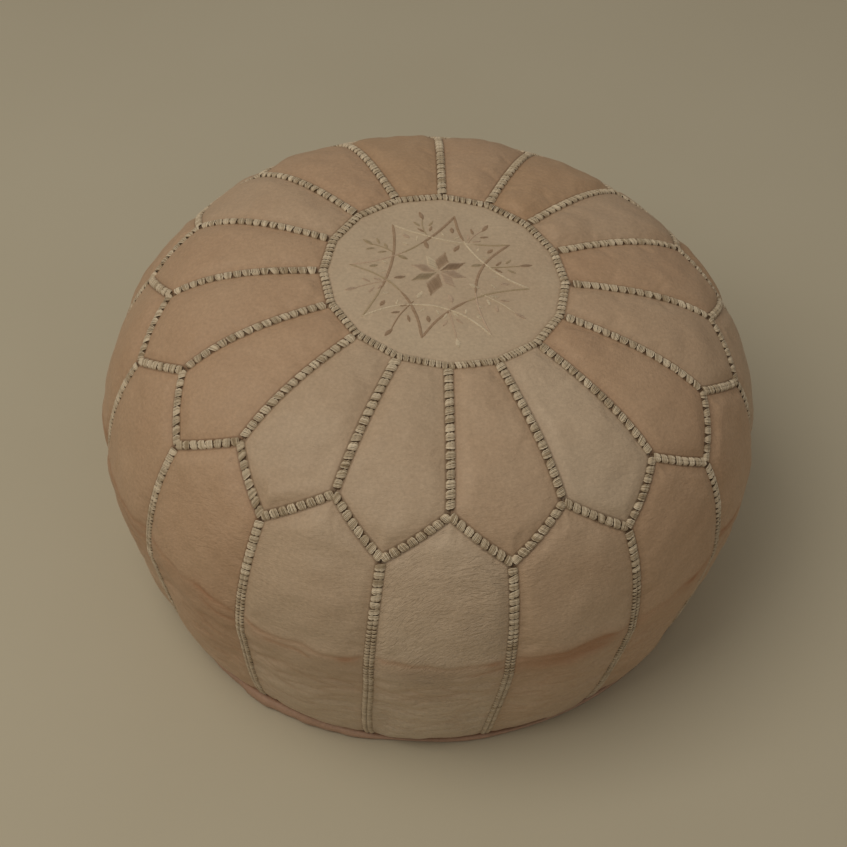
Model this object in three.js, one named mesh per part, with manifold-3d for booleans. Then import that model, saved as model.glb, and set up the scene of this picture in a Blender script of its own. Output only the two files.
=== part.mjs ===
// A round leather floor pouf: sixteen top panels and sixteen side panels round a stitched medallion,
// over a cotton bag of stuffing, with a zip across the underside. Millimetres, +Z up.
// Azimuth is counted from the front (-Y) towards +X, in steps of one panel.
import * as THREE from 'three';
import { mergeVertices } from 'three/addons/utils/BufferGeometryUtils.js';
import Module from 'manifold-3d';

// ---- Driving dimensions ----
const PANELS = 16;
const HEIGHT = 275;
const SEAM_RADIUS = 255;          // widest radius, measured at the seams
const PANEL_BULGE = 5;            // how far a panel's middle stands proud of its seams
const WIDEST_Z = 123;
const FOOT_RADIUS = 222;
const FOOT_Z = 4;                 // where the side panels end, above the base rim
const SHOULDER_SQUARENESS = 4.4;  // exponents of the two superellipse quarters of the profile
const CROWN_SQUARENESS = 2.07;
const LOWER_ROUNDNESS = 2.08;

const MEDALLION_RADIUS = 92;
const PEAK_RADIUS = 204;          // upper corners of the zigzag seam, at the ends of the spokes
const VALLEY_RADIUS = 228;        // lower corners of the zigzag seam, at the tops of the side seams

const TOP_SHIFT = 12;             // the stuffing has settled, so the crown leans towards +X
const TOP_TILT = 0.084;           // and its +X side sits lower, per unit of height
const LEVEL_BELOW = 20;           // nothing leans or tilts below this height

const LEATHER = 2.5;
const GAP = 0.35;                 // each piece stops this far short of a seam line
const LAND = 5.6;                 // flat strip beside a seam, under the stitched band
const BAND_WIDTH = 8.4;
const BAND_TOP_WIDTH = 6;
const BAND_HEIGHT = 2;
const BAND_LIFT = 1;

const EMBROIDERY_THICK = 0.6;
const PATTERN_X = -5;             // the pattern sits a little off the medallion's centre
const PATTERN_Y = 3.5;
const STAR_TIP = 68;
const STAR_WAIST = 34;            // how near the centre a curved side of the star comes
const STAR_LINE = 2.6;
const STAR_TURN = THREE.MathUtils.degToRad(-12);
const ROSETTE_TIP = 23;
const ROSETTE_WAIST = 9;
const SPRIG_START = 36;
const SPRIG_END = 73;
const STEM_HALF_WIDTH = 0.8;
const LEAF_LENGTH = 12;
const LEAF_HALF_WIDTH = 3;

const BASE_RADIUS = 219.5;
const RIM_INNER = 220.1;
const RIM_OUTER = 231;
const RIM_BOTTOM = 0.3;
const RIM_TOP = 3;

const ZIP_HALF_LENGTH = 150;
const ZIP_SLOT_HALF = 6;
const TROUGH_HALF_LENGTH = 168;   // the zip lies at the top of a trough, so that it clears the floor
const TROUGH_HALF_WIDTH = 13;
const TROUGH_TOP_HALF_LENGTH = 163;
const TROUGH_TOP_HALF_WIDTH = 9.5;
const TROUGH_DEPTH = 12;
const FLANGE_HALF_WIDTH = 18;     // leather turned level at the top of the trough, sewn to the tapes
const FLANGE_HALF_LENGTH = 172;
const HOLLOW_HALF_WIDTH = 20.5;   // groove under the bag and stuffing, over the zip
const HOLLOW_HALF_LENGTH = 175;
const HOLLOW_TOP = 19.5;
const COIL_INNER = 0.7;
const COIL_OUTER = 3.3;
const COIL_BOTTOM = 13.7;
const COIL_TOP = 16.5;
const COIL_HALF_LENGTH = ZIP_HALF_LENGTH - 1;
const STOP_X = ZIP_HALF_LENGTH + 1.4;
const STOP_HALF_LENGTH = 1.6;
const STOP_PROUD = 0.3;
const TAPE_HALF_LENGTH = ZIP_HALF_LENGTH + 4;
const TAPE_OUTER = 17;
const TAPE_BOTTOM = 14.8;
const TAPE_THICK = 0.8;
const SLIDER_X = -136;            // closed end, where the slider rests
const SLIDER_LENGTH = 13;
const SLIDER_HALF_WIDTH = 5;
const PULL_LENGTH = 24;
const PULL_DROOP = 20;            // degrees below level at rest
const PIVOT_X = SLIDER_X + 2;
const PIVOT_Z = 8.9;
const PLATE_THICK = 2;
const LOWER_PLATE_Z = 11.2;
const UPPER_PLATE_Z = 17;
const UPPER_PLATE_TOP = 18.5;
const WEB_HALF = 0.35;            // the slider's web runs between the coils
const LIP_Z = 14.3;
const LIP_THICK = 0.8;
const LUG_HALF_WIDTH = 1.4;
const LUG_RADIUS = 2.6;
const PIN_HOLE = 1.3;
const PIN_RADIUS = 1;
const EAR_INNER = 1.8;
const EAR_OUTER = 3.3;
const EAR_RADIUS = 2.2;
const TAB_HALF_WIDTH = 4;
const TAB_THICK = 1.6;
const TAB_START = 4;

const LINING_THICK = 1.5;
const LINING_OFFSET = LEATHER + 3.6;
const STUFFING_OFFSET = LINING_OFFSET + LINING_THICK + 1;
const BAG_FLOOR = LEATHER + 1;
const MOUTH_HALF_LENGTH = ZIP_HALF_LENGTH - 10;
const MOUTH_HALF_WIDTH = 8;
const CUT_LOW = -5;               // cutting blocks run between these heights
const CUT_HIGH = 30;
const FAR = 300;                  // beyond the body, sideways

const STEP = 2 * Math.PI / PANELS;
const CIRCLE_SEGMENTS = 2 * PANELS;

// ---- Materials ----
const finish = (color, roughness, metalness = 0) => (
  new THREE.MeshStandardMaterial({ color, roughness, metalness })
);
const FINISH = {
  leather: finish(0xb8977a, 0.55),
  medallionLeather: finish(0xc2a78a, 0.52),
  baseLeather: finish(0xa17a5c, 0.65),
  thread: finish(0xc4b193, 0.8),
  roseThread: finish(0xa87c5f, 0.6),
  cotton: finish(0xe6dcc8, 0.95),
  wadding: finish(0xf1ede2, 1),
  tape: finish(0x8f7358, 0.85),
  coil: finish(0x7b624b, 0.5),
  metal: finish(0xb9a06a, 0.35, 1),
};

const pouf = new THREE.Group();

function add(name, geometry, material) {
  const mesh = new THREE.Mesh(geometry, material);
  mesh.name = name;
  pouf.add(mesh);
  return mesh;
}

// ---- Body profile: radius and height along one meridian ----
function buildProfile() {
  const points = [];
  const samples = 240;
  for (let i = 0; i <= samples; i += 1) {
    const angle = (Math.PI / 2) * (i / samples);
    points.push(new THREE.Vector2(
      SEAM_RADIUS * Math.sin(angle) ** (2 / SHOULDER_SQUARENESS),
      WIDEST_Z + (HEIGHT - WIDEST_Z) * Math.max(0, Math.cos(angle)) ** (2 / CROWN_SQUARENESS),
    ));
  }
  for (let i = 1; i <= samples; i += 1) {
    const angle = (Math.PI / 2) * (i / samples);
    points.push(new THREE.Vector2(
      FOOT_RADIUS + (SEAM_RADIUS - FOOT_RADIUS) * Math.cos(angle),
      WIDEST_Z * (1 - Math.sin(angle) ** LOWER_ROUNDNESS),
    ));
  }
  const arcs = [0];
  for (let i = 1; i < points.length; i += 1) arcs.push(arcs[i - 1] + points[i].distanceTo(points[i - 1]));
  return { points, arcs };
}

const PROFILE = buildProfile();

// Point, and outward normal, at one distance along the meridian from the crown.
function meridian(arc) {
  const { points, arcs } = PROFILE;
  let i = arcs.findIndex((value) => value > arc);
  if (i < 1) i = arc <= 0 ? 1 : arcs.length - 1;
  const share = (arc - arcs[i - 1]) / (arcs[i] - arcs[i - 1]);
  const point = points[i - 1].clone().lerp(points[i], share);
  const before = points[Math.max(0, i - 4)];
  const after = points[Math.min(points.length - 1, i + 3)];
  const along = after.clone().sub(before).normalize();
  return { r: point.x, z: point.y, nr: -along.y, nz: along.x };
}

// Distance along the meridian at which a test on the point first holds.
function arcWhere(test) {
  const i = PROFILE.points.findIndex(test);
  return PROFILE.arcs[i];
}

const ARC_RING = arcWhere((p) => p.x >= MEDALLION_RADIUS);
const ARC_PEAK = arcWhere((p) => p.x >= PEAK_RADIUS);
const ARC_VALLEY = arcWhere((p) => p.x >= VALLEY_RADIUS);
const ARC_WIDEST = arcWhere((p) => p.y <= WIDEST_Z);
const ARC_FOOT = arcWhere((p) => p.y <= FOOT_Z);
const HALF_STEP_LENGTH = VALLEY_RADIUS * STEP / 2;
const ZIGZAG_STRETCH = Math.hypot(ARC_VALLEY - ARC_PEAK, HALF_STEP_LENGTH) / HALF_STEP_LENGTH;

// The stuffing has settled to one side: the same shift and tilt is used for every piece.
function settle(x, y, z) {
  const rise = THREE.MathUtils.smoothstep(z, WIDEST_Z, HEIGHT);
  const share = Math.max(0, z - LEVEL_BELOW) / (HEIGHT - LEVEL_BELOW);
  return [x + TOP_SHIFT * rise, y, z - TOP_TILT * share * x];
}

function onSurface(azimuth, arc, lift) {
  const m = meridian(arc);
  const r = m.r + lift * m.nr;
  return settle(r * Math.sin(azimuth), -r * Math.cos(azimuth), m.z + lift * m.nz);
}

// ---- Geometry helpers ----
function closedGeometry(vertices, faces) {
  const geometry = new THREE.BufferGeometry();
  geometry.setAttribute('position', new THREE.Float32BufferAttribute(vertices.flat(), 3));
  geometry.setIndex(faces.flat());
  geometry.computeVertexNormals();
  return geometry;
}

// A closed shell over a grid of columns and rows; pointAt(column, row, outside) gives each corner.
function gridShell(columns, rows, pointAt) {
  const vertices = [];
  const faces = [];
  for (const outside of [true, false]) {
    for (let j = 0; j < rows; j += 1) {
      for (let i = 0; i < columns; i += 1) vertices.push(pointAt(i, j, outside));
    }
  }
  const outer = (i, j) => j * columns + i;
  const inner = (i, j) => columns * rows + outer(i, j);
  const quad = (a, b, c, d) => faces.push([a, b, c], [a, c, d]);
  for (let j = 0; j + 1 < rows; j += 1) {
    for (let i = 0; i + 1 < columns; i += 1) {
      quad(outer(i, j), outer(i, j + 1), outer(i + 1, j + 1), outer(i + 1, j));
      quad(inner(i, j), inner(i + 1, j), inner(i + 1, j + 1), inner(i, j + 1));
    }
  }
  for (let i = 0; i + 1 < columns; i += 1) {
    quad(outer(i, 0), outer(i + 1, 0), inner(i + 1, 0), inner(i, 0));
    quad(outer(i, rows - 1), inner(i, rows - 1), inner(i + 1, rows - 1), outer(i + 1, rows - 1));
  }
  for (let j = 0; j + 1 < rows; j += 1) {
    quad(outer(0, j), inner(0, j), inner(0, j + 1), outer(0, j + 1));
    quad(outer(columns - 1, j), outer(columns - 1, j + 1), inner(columns - 1, j + 1), inner(columns - 1, j));
  }
  return closedGeometry(vertices, faces);
}

// A turned body: the outline is [radius, height] pairs, and it leans with the rest where asked.
function turned(outline, leans, segments = CIRCLE_SEGMENTS) {
  const lathe = new THREE.LatheGeometry(outline.map(([r, z]) => new THREE.Vector2(r, z)), segments);
  lathe.rotateX(Math.PI / 2);
  return leans ? settled(lathe) : lathe;
}

function settled(geometry) {
  const position = geometry.attributes.position;
  for (let i = 0; i < position.count; i += 1) {
    position.setXYZ(i, ...settle(position.getX(i), position.getY(i), position.getZ(i)));
  }
  return geometry;
}

const box = (x0, x1, y0, y1, z0, z1) => new THREE.BoxGeometry(x1 - x0, y1 - y0, z1 - z0)
  .translate((x0 + x1) / 2, (y0 + y1) / 2, (z0 + z1) / 2);

const wasm = await Module();
wasm.setup();

function solid(geometry) {
  const plain = geometry.clone();
  plain.deleteAttribute('normal');
  plain.deleteAttribute('uv');
  const merged = mergeVertices(plain, 1e-4);
  return new wasm.Manifold(new wasm.Mesh({
    numProp: 3,
    vertProperties: new Float32Array(merged.attributes.position.array),
    triVerts: new Uint32Array(merged.index.array),
  }));
}

function toGeometry(manifold) {
  const mesh = manifold.getMesh();
  const geometry = new THREE.BufferGeometry();
  geometry.setAttribute('position', new THREE.BufferAttribute(new Float32Array(mesh.vertProperties), 3));
  geometry.setIndex(new THREE.BufferAttribute(new Uint32Array(mesh.triVerts), 1));
  geometry.computeVertexNormals();
  return geometry;
}

const joined = (geometries) => toGeometry(geometries.map(solid).reduce((all, one) => all.add(one)));

// ---- Leather panels ----
// A column is a share of the panel's angle plus a distance in millimetres from that line.
const COLUMNS = [[0, GAP], [0, LAND], [0.25, 0], [0.5, 0], [0.75, 0], [1, -LAND], [1, -GAP]];
const COLUMN_BULGE = [0, 0, 0.8, 1, 0.8, 0, 0];

// The zigzag seam: its corners alternate between peaks, at whole steps, and valleys between them.
function zigzagArc(azimuth) {
  const share = Math.abs(azimuth / STEP - Math.round(azimuth / STEP)) * 2;
  return THREE.MathUtils.lerp(ARC_PEAK, ARC_VALLEY, share);
}

// arcOfRow(row, azimuth) gives each row's place on the meridian, and rowBulge how full it is.
function leatherPanel(startAzimuth, rowBulge, arcOfRow) {
  return gridShell(COLUMNS.length, rowBulge.length, (i, j, outside) => {
    const [share, distance] = COLUMNS[i];
    const line = startAzimuth + share * STEP;
    const roughRadius = meridian(arcOfRow(j, line)).r;
    const azimuth = line + distance / roughRadius;
    const lift = PANEL_BULGE * COLUMN_BULGE[i] * rowBulge[j] - (outside ? 0 : LEATHER);
    return onSurface(azimuth, arcOfRow(j, azimuth), lift);
  });
}

const TOP_ROW_BULGE = [0, 0, 0.9, 1, 0, 0];

function topPanelRow(row, azimuth) {
  const zigzag = zigzagArc(azimuth);
  return [
    ARC_RING + GAP,
    ARC_RING + LAND,
    THREE.MathUtils.lerp(ARC_RING, zigzag, 0.36),
    THREE.MathUtils.lerp(ARC_RING, zigzag, 0.68),
    zigzag - LAND * ZIGZAG_STRETCH,
    zigzag - GAP * ZIGZAG_STRETCH,
  ][row];
}

const SIDE_ROW_BULGE = [0, 0, 0.9, 1, 0.95, 0.6, 0.2];

function sidePanelRow(row, azimuth) {
  const zigzag = zigzagArc(azimuth);
  return [
    zigzag + GAP * ZIGZAG_STRETCH,
    zigzag + LAND * ZIGZAG_STRETCH,
    THREE.MathUtils.lerp(zigzag, ARC_WIDEST, 0.6),
    ARC_WIDEST,
    THREE.MathUtils.lerp(ARC_WIDEST, ARC_FOOT, 0.4),
    THREE.MathUtils.lerp(ARC_WIDEST, ARC_FOOT, 0.75),
    ARC_FOOT,
  ][row];
}

function addPanels() {
  for (let k = 0; k < PANELS; k += 1) {
    const number = String(k + 1).padStart(2, '0');
    const top = leatherPanel(k * STEP, TOP_ROW_BULGE, topPanelRow);
    const side = leatherPanel((k - 0.5) * STEP, SIDE_ROW_BULGE, sidePanelRow);
    add(`top_panel_${number}`, top, FINISH.leather);
    add(`side_panel_${number}`, side, FINISH.leather);
  }
}

// ---- Medallion and its embroidery ----
const crownZ = (r) => meridian(arcWhere((p) => p.x >= r)).z;

function addMedallion() {
  const edge = MEDALLION_RADIUS - GAP - 0.4;
  const top = [0, 48, 80, edge].map((r) => [r, r === 0 ? HEIGHT : crownZ(r)]);
  const underside = top.map(([r, z]) => [r, z - LEATHER]);
  add('medallion', turned([...underside, ...top.reverse()], true), FINISH.medallionLeather);
}

const polar = (r, angle) => new THREE.Vector2(r * Math.sin(angle), -r * Math.cos(angle));

// Outline of a four-pointed star with hollow curved sides.
function hollowStar(tip, waist, turn) {
  const shape = new THREE.Shape();
  shape.moveTo(...polar(tip, turn));
  for (let k = 0; k < 4; k += 1) {
    const end = turn + (k + 1) * Math.PI / 2;
    const middle = polar(2 * waist - tip * Math.SQRT1_2, end - Math.PI / 4);
    shape.quadraticCurveTo(middle.x, middle.y, ...polar(tip, end));
  }
  return shape;
}

const stitched = (shape) => new THREE.ExtrudeGeometry(shape, {
  depth: EMBROIDERY_THICK, bevelEnabled: false, curveSegments: 5,
}).translate(PATTERN_X, PATTERN_Y, HEIGHT + GAP);

function sprig(angle) {
  const shape = new THREE.Shape();
  const along = polar(1, angle);
  const aside = new THREE.Vector2(-along.y, along.x);
  const corner = (distance, side) => along.clone().multiplyScalar(distance).addScaledVector(aside, side);
  const outline = [
    [SPRIG_START, -STEM_HALF_WIDTH], [SPRIG_END - LEAF_LENGTH, -STEM_HALF_WIDTH],
    [SPRIG_END - LEAF_LENGTH * 0.55, -LEAF_HALF_WIDTH], [SPRIG_END, 0],
    [SPRIG_END - LEAF_LENGTH * 0.55, LEAF_HALF_WIDTH], [SPRIG_END - LEAF_LENGTH, STEM_HALF_WIDTH],
    [SPRIG_START, STEM_HALF_WIDTH],
  ];
  shape.setFromPoints(outline.map(([distance, side]) => corner(distance, side)));
  return stitched(shape);
}

function addEmbroidery() {
  const pieces = [];
  for (const turn of [STAR_TURN, STAR_TURN + Math.PI / 4]) {
    const star = hollowStar(STAR_TIP, STAR_WAIST, turn);
    star.holes.push(hollowStar(STAR_TIP - 3 * STAR_LINE, STAR_WAIST - STAR_LINE, turn));
    pieces.push(stitched(star));
  }
  for (let k = 0; k < 8; k += 1) pieces.push(sprig(STAR_TURN + (k + 0.5) * Math.PI / 4));
  add('embroidered_star', settled(joined(pieces)), FINISH.roseThread);

  const petals = new THREE.Shape();
  petals.moveTo(...polar(ROSETTE_TIP, STAR_TURN));
  for (let k = 1; k < 16; k += 1) {
    petals.lineTo(...polar(k % 2 ? ROSETTE_WAIST : ROSETTE_TIP, STAR_TURN + k * Math.PI / 8));
  }
  add('embroidered_rosette', settled(stitched(petals)), FINISH.roseThread);
}

// ---- Stitched bands over the seams ----
// A raised strip along a path of [azimuth, arc] points, mitred where the path turns.
function band(path, closed) {
  const count = path.length;
  const local = (i, j) => {
    const turn = path[j][0] - path[i][0];
    const shortest = turn - 2 * Math.PI * Math.round(turn / (2 * Math.PI));
    return new THREE.Vector2(shortest * meridian(path[i][1]).r, path[j][1] - path[i][1]);
  };
  const around = (i) => (closed ? (i + count) % count : i);
  const sections = path.map(([azimuth, arc], i) => {
    const isStart = !closed && i === 0;
    const isEnd = !closed && i === count - 1;
    const back = isStart ? null : local(i, around(i - 1)).normalize().negate();
    const ahead = isEnd ? null : local(i, around(i + 1)).normalize();
    const along = (back ?? ahead).clone().add(ahead ?? back).normalize();
    const mitre = 1 / along.dot(ahead ?? back);
    const aside = new THREE.Vector2(-along.y, along.x).multiplyScalar(mitre);
    const corner = (width, lift) => onSurface(
      azimuth + aside.x * width / meridian(arc).r, arc + aside.y * width, lift,
    );
    const low = BAND_WIDTH / 2;
    const high = BAND_TOP_WIDTH / 2;
    const top = BAND_LIFT + BAND_HEIGHT;
    return [corner(low, BAND_LIFT), corner(-low, BAND_LIFT), corner(-high, top), corner(high, top)];
  });
  const vertices = sections.flat();
  const faces = [];
  const spans = closed ? count : count - 1;
  for (let i = 0; i < spans; i += 1) {
    const next = (i + 1) % count;
    for (let c = 0; c < 4; c += 1) {
      const [a, b] = [i * 4 + c, i * 4 + (c + 1) % 4];
      const [d, e] = [next * 4 + (c + 1) % 4, next * 4 + c];
      faces.push([a, b, d], [a, d, e]);
    }
  }
  if (!closed) {
    const last = (count - 1) * 4;
    faces.push([0, 2, 1], [0, 3, 2], [last, last + 1, last + 2], [last, last + 2, last + 3]);
  }
  return closedGeometry(vertices, faces);
}

const circlePath = (arc) => Array.from({ length: CIRCLE_SEGMENTS }, (_, i) => [-i * STEP / 2, arc]);

function seamPath(azimuth, arcs) {
  return arcs.map((arc) => [azimuth, arc]);
}

// Each band's joints lie on the rows of the panels beside it, so it follows their facets.
function addStitching() {
  const top = [band(circlePath(ARC_RING), true)];
  const spokeEnd = ARC_PEAK - BAND_WIDTH / 2 * ZIGZAG_STRETCH - 1;
  const spokeArcs = [ARC_RING + 1, ...[1, 2, 3, 4].map((row) => topPanelRow(row, 0)), spokeEnd];
  for (let k = 0; k < PANELS; k += 1) top.push(band(seamPath(k * STEP, spokeArcs), false));
  add('top_seam_stitching', joined(top), FINISH.thread);

  const zigzag = Array.from({ length: 4 * PANELS }, (_, i) => [-i * STEP / 4, zigzagArc(-i * STEP / 4)]);
  const side = [band(zigzag, true)];
  const sideRows = [1, 2, 3, 4, 5].map((row) => sidePanelRow(row, STEP / 2));
  const sideArcs = [ARC_VALLEY + 1, ...sideRows, ARC_FOOT - 3];
  for (let k = 0; k < PANELS; k += 1) side.push(band(seamPath((k + 0.5) * STEP, sideArcs), false));
  add('side_seam_stitching', joined(side), FINISH.thread);
}

// ---- Base ----
// A block that narrows from its bottom rectangle to its top one.
function taperedBlock(bottom, top, z0, z1) {
  const corners = (halfX, halfY, z) => [
    [-halfX, -halfY, z], [halfX, -halfY, z], [halfX, halfY, z], [-halfX, halfY, z],
  ];
  const vertices = [...corners(...bottom, z0), ...corners(...top, z1)];
  const faces = [[0, 2, 1], [0, 3, 2], [4, 5, 6], [4, 6, 7]];
  for (let i = 0; i < 4; i += 1) {
    const next = (i + 1) % 4;
    faces.push([i, next, next + 4], [i, next + 4, i + 4]);
  }
  return closedGeometry(vertices, faces);
}

const block = (halfX, halfY, z0, z1) => solid(taperedBlock([halfX, halfY], [halfX, halfY], z0, z1));

// The base leather is flat, but for the trough that holds the zip, and the zip parts it in two.
function addBase() {
  const disc = solid(turned([[0, 0], [BASE_RADIUS, 0], [BASE_RADIUS, LEATHER], [0, LEATHER]], false));
  const trough = (grow, z0, z1) => solid(taperedBlock(
    [TROUGH_HALF_LENGTH + grow, TROUGH_HALF_WIDTH + grow],
    [TROUGH_TOP_HALF_LENGTH + grow, TROUGH_TOP_HALF_WIDTH + grow], z0, z1,
  ));
  const top = TROUGH_DEPTH + LEATHER;
  const flange = block(FLANGE_HALF_LENGTH, FLANGE_HALF_WIDTH, TROUGH_DEPTH, top);
  const walls = trough(LEATHER, 0, TROUGH_DEPTH + 0.5);
  const slot = block(ZIP_HALF_LENGTH + 6, ZIP_SLOT_HALF, CUT_LOW, CUT_HIGH);
  const parted = block(FAR, GAP, CUT_LOW, CUT_HIGH);
  const whole = disc.add(walls).add(flange)
    .subtract(trough(0, -0.02, TROUGH_DEPTH)).subtract(slot).subtract(parted);
  const half = (y0, y1) => toGeometry(whole.intersect(solid(box(-FAR, FAR, y0, y1, CUT_LOW, CUT_HIGH))));
  add('base_panel_front', half(-FAR, 0), FINISH.baseLeather);
  add('base_panel_back', half(0, FAR), FINISH.baseLeather);

  const rim = [
    [RIM_INNER, RIM_BOTTOM], [RIM_OUTER, RIM_BOTTOM], [RIM_OUTER, RIM_TOP], [RIM_INNER, RIM_TOP],
    [RIM_INNER, RIM_BOTTOM],
  ];
  add('base_rim', turned(rim, false), FINISH.baseLeather);
}

// ---- Zip ----
function addZip() {
  for (const [side, sign] of [['front', -1], ['back', 1]]) {
    const across = (near, far, z0, z1, half) => (sign > 0
      ? box(-half, half, near, far, z0, z1)
      : box(-half, half, -far, -near, z0, z1));
    const tape = across(
      COIL_OUTER + GAP, TAPE_OUTER, TAPE_BOTTOM, TAPE_BOTTOM + TAPE_THICK, TAPE_HALF_LENGTH,
    );
    add(`zip_tape_${side}`, tape, FINISH.tape);
    const coil = across(COIL_INNER, COIL_OUTER, COIL_BOTTOM, COIL_TOP, COIL_HALF_LENGTH);
    add(`zip_coil_${side}`, coil, FINISH.coil);
  }
  for (const [end, sign] of [['closed', -1], ['open', 1]]) {
    const middle = sign * STOP_X;
    const stop = box(
      middle - STOP_HALF_LENGTH, middle + STOP_HALF_LENGTH, -COIL_OUTER, COIL_OUTER,
      COIL_BOTTOM - STOP_PROUD, COIL_TOP + STOP_PROUD,
    );
    add(`zip_${end}_stop`, stop, FINISH.metal);
  }
}

// Section across the zip: two plates joined by a web that runs between the two coils.
function sliderSection() {
  const half = [
    [0, LOWER_PLATE_Z], [SLIDER_HALF_WIDTH, LOWER_PLATE_Z], [SLIDER_HALF_WIDTH, LIP_Z],
    [SLIDER_HALF_WIDTH - LIP_THICK, LIP_Z], [SLIDER_HALF_WIDTH - LIP_THICK, LOWER_PLATE_Z + PLATE_THICK],
    [WEB_HALF, LOWER_PLATE_Z + PLATE_THICK], [WEB_HALF, UPPER_PLATE_Z], [SLIDER_HALF_WIDTH, UPPER_PLATE_Z],
    [SLIDER_HALF_WIDTH, UPPER_PLATE_TOP], [0, UPPER_PLATE_TOP],
  ];
  const mirrored = half.slice(1, -1).reverse().map(([y, z]) => [-y, z]);
  return new THREE.Shape([...half, ...mirrored].map(([y, z]) => new THREE.Vector2(y, z)));
}

// Turns an outline drawn in the XZ plane, round the pull's pivot, into a slab across Y.
function slabAcross(shape, y0, y1, curveSegments = 6) {
  return new THREE.ExtrudeGeometry(shape, { depth: y1 - y0, bevelEnabled: false, curveSegments })
    .rotateX(Math.PI / 2)
    .translate(PIVOT_X, y1, PIVOT_Z);
}

function addSlider() {
  const body = new THREE.ExtrudeGeometry(sliderSection(), { depth: SLIDER_LENGTH, bevelEnabled: false })
    .applyMatrix4(new THREE.Matrix4().makeBasis(
      new THREE.Vector3(0, 1, 0), new THREE.Vector3(0, 0, 1), new THREE.Vector3(1, 0, 0),
    ))
    .translate(SLIDER_X - SLIDER_LENGTH / 2, 0, 0);
  const lug = new THREE.Shape();
  const lugTop = LOWER_PLATE_Z + 0.8 - PIVOT_Z;
  lug.moveTo(-LUG_RADIUS, lugTop);
  lug.lineTo(-LUG_RADIUS, 0);
  lug.absarc(0, 0, LUG_RADIUS, Math.PI, 2 * Math.PI, false);
  lug.lineTo(LUG_RADIUS, lugTop);
  lug.holes.push(new THREE.Path().absarc(0, 0, PIN_HOLE, 0, 2 * Math.PI, true));
  add('zip_slider', joined([body, slabAcross(lug, -LUG_HALF_WIDTH, LUG_HALF_WIDTH)]), FINISH.metal);
}

function addPull() {
  const ear = new THREE.Shape();
  ear.moveTo(0, EAR_RADIUS * 0.8);
  ear.absarc(0, 0, EAR_RADIUS * 0.8, Math.PI / 2, 1.5 * Math.PI, false);
  ear.lineTo(TAB_START + 1, -TAB_THICK / 2);
  ear.lineTo(TAB_START + 1, TAB_THICK / 2);
  const pin = new THREE.Shape().absarc(0, 0, PIN_RADIUS, 0, 2 * Math.PI, false);
  const tab = new THREE.Shape();
  const roundStart = PULL_LENGTH - TAB_HALF_WIDTH;
  tab.moveTo(TAB_START, -TAB_HALF_WIDTH * 0.85);
  tab.lineTo(roundStart, -TAB_HALF_WIDTH);
  tab.absarc(roundStart, 0, TAB_HALF_WIDTH, -Math.PI / 2, Math.PI / 2, false);
  tab.lineTo(TAB_START, TAB_HALF_WIDTH * 0.85);
  const plate = new THREE.ExtrudeGeometry(tab, { depth: TAB_THICK, bevelEnabled: false, curveSegments: 6 })
    .translate(PIVOT_X, 0, PIVOT_Z - TAB_THICK / 2);
  const pull = joined([
    slabAcross(ear, -EAR_OUTER, -EAR_INNER), slabAcross(ear, EAR_INNER, EAR_OUTER),
    slabAcross(pin, -EAR_OUTER + 0.2, EAR_OUTER - 0.2, 10), plate,
  ]);
  pull.translate(-PIVOT_X, 0, -PIVOT_Z)
    .rotateY(THREE.MathUtils.degToRad(PULL_DROOP))
    .translate(PIVOT_X, 0, PIVOT_Z);
  add('zip_pull', pull, FINISH.metal);
}

// ---- Inside: a cotton bag, open along the zip, and its stuffing ----
// The body at one depth below the seams, with a groove over the zip.
function innerBody(depth, floor) {
  const shares = [0.12, 0.24, 0.33, 0.42, 0.5, 0.58, 0.68, 0.78, 0.88, 0.95];
  const points = shares.map((share) => {
    const m = meridian(share * ARC_FOOT);
    return [m.r - depth * m.nr, m.z - depth * m.nz];
  });
  const outline = [
    [0, floor], [BASE_RADIUS - 2 - depth, floor], ...points.reverse(), [0, HEIGHT - depth - 0.4],
  ];
  const spare = floor - LEATHER - 1;
  const groove = block(HOLLOW_HALF_LENGTH + spare, HOLLOW_HALF_WIDTH + spare, CUT_LOW, HOLLOW_TOP + spare);
  return solid(turned(outline, true)).subtract(groove);
}

function addInside() {
  const outside = innerBody(LINING_OFFSET, BAG_FLOOR);
  const hollow = innerBody(LINING_OFFSET + LINING_THICK, BAG_FLOOR + LINING_THICK);
  const mouth = block(MOUTH_HALF_LENGTH, MOUTH_HALF_WIDTH, TROUGH_DEPTH - 2, CUT_HIGH);
  add('lining_bag', toGeometry(outside.subtract(hollow).subtract(mouth)), FINISH.cotton);
  add('stuffing', toGeometry(innerBody(STUFFING_OFFSET, BAG_FLOOR + LINING_THICK + 1)), FINISH.wadding);
}

addMedallion();
addEmbroidery();
addPanels();
addStitching();
addBase();
addZip();
addSlider();
addPull();
addInside();

export default pouf;
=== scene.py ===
"""Looks of a round leather floor pouf, built round its CAD frame. Metres, +Z up.

Every place on the cover is given as an azimuth (counted from the front, -Y, towards +X), an arc (the
distance down the meridian from the crown's middle) and a lift (height above the seams' surface).
"""
import math

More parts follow.
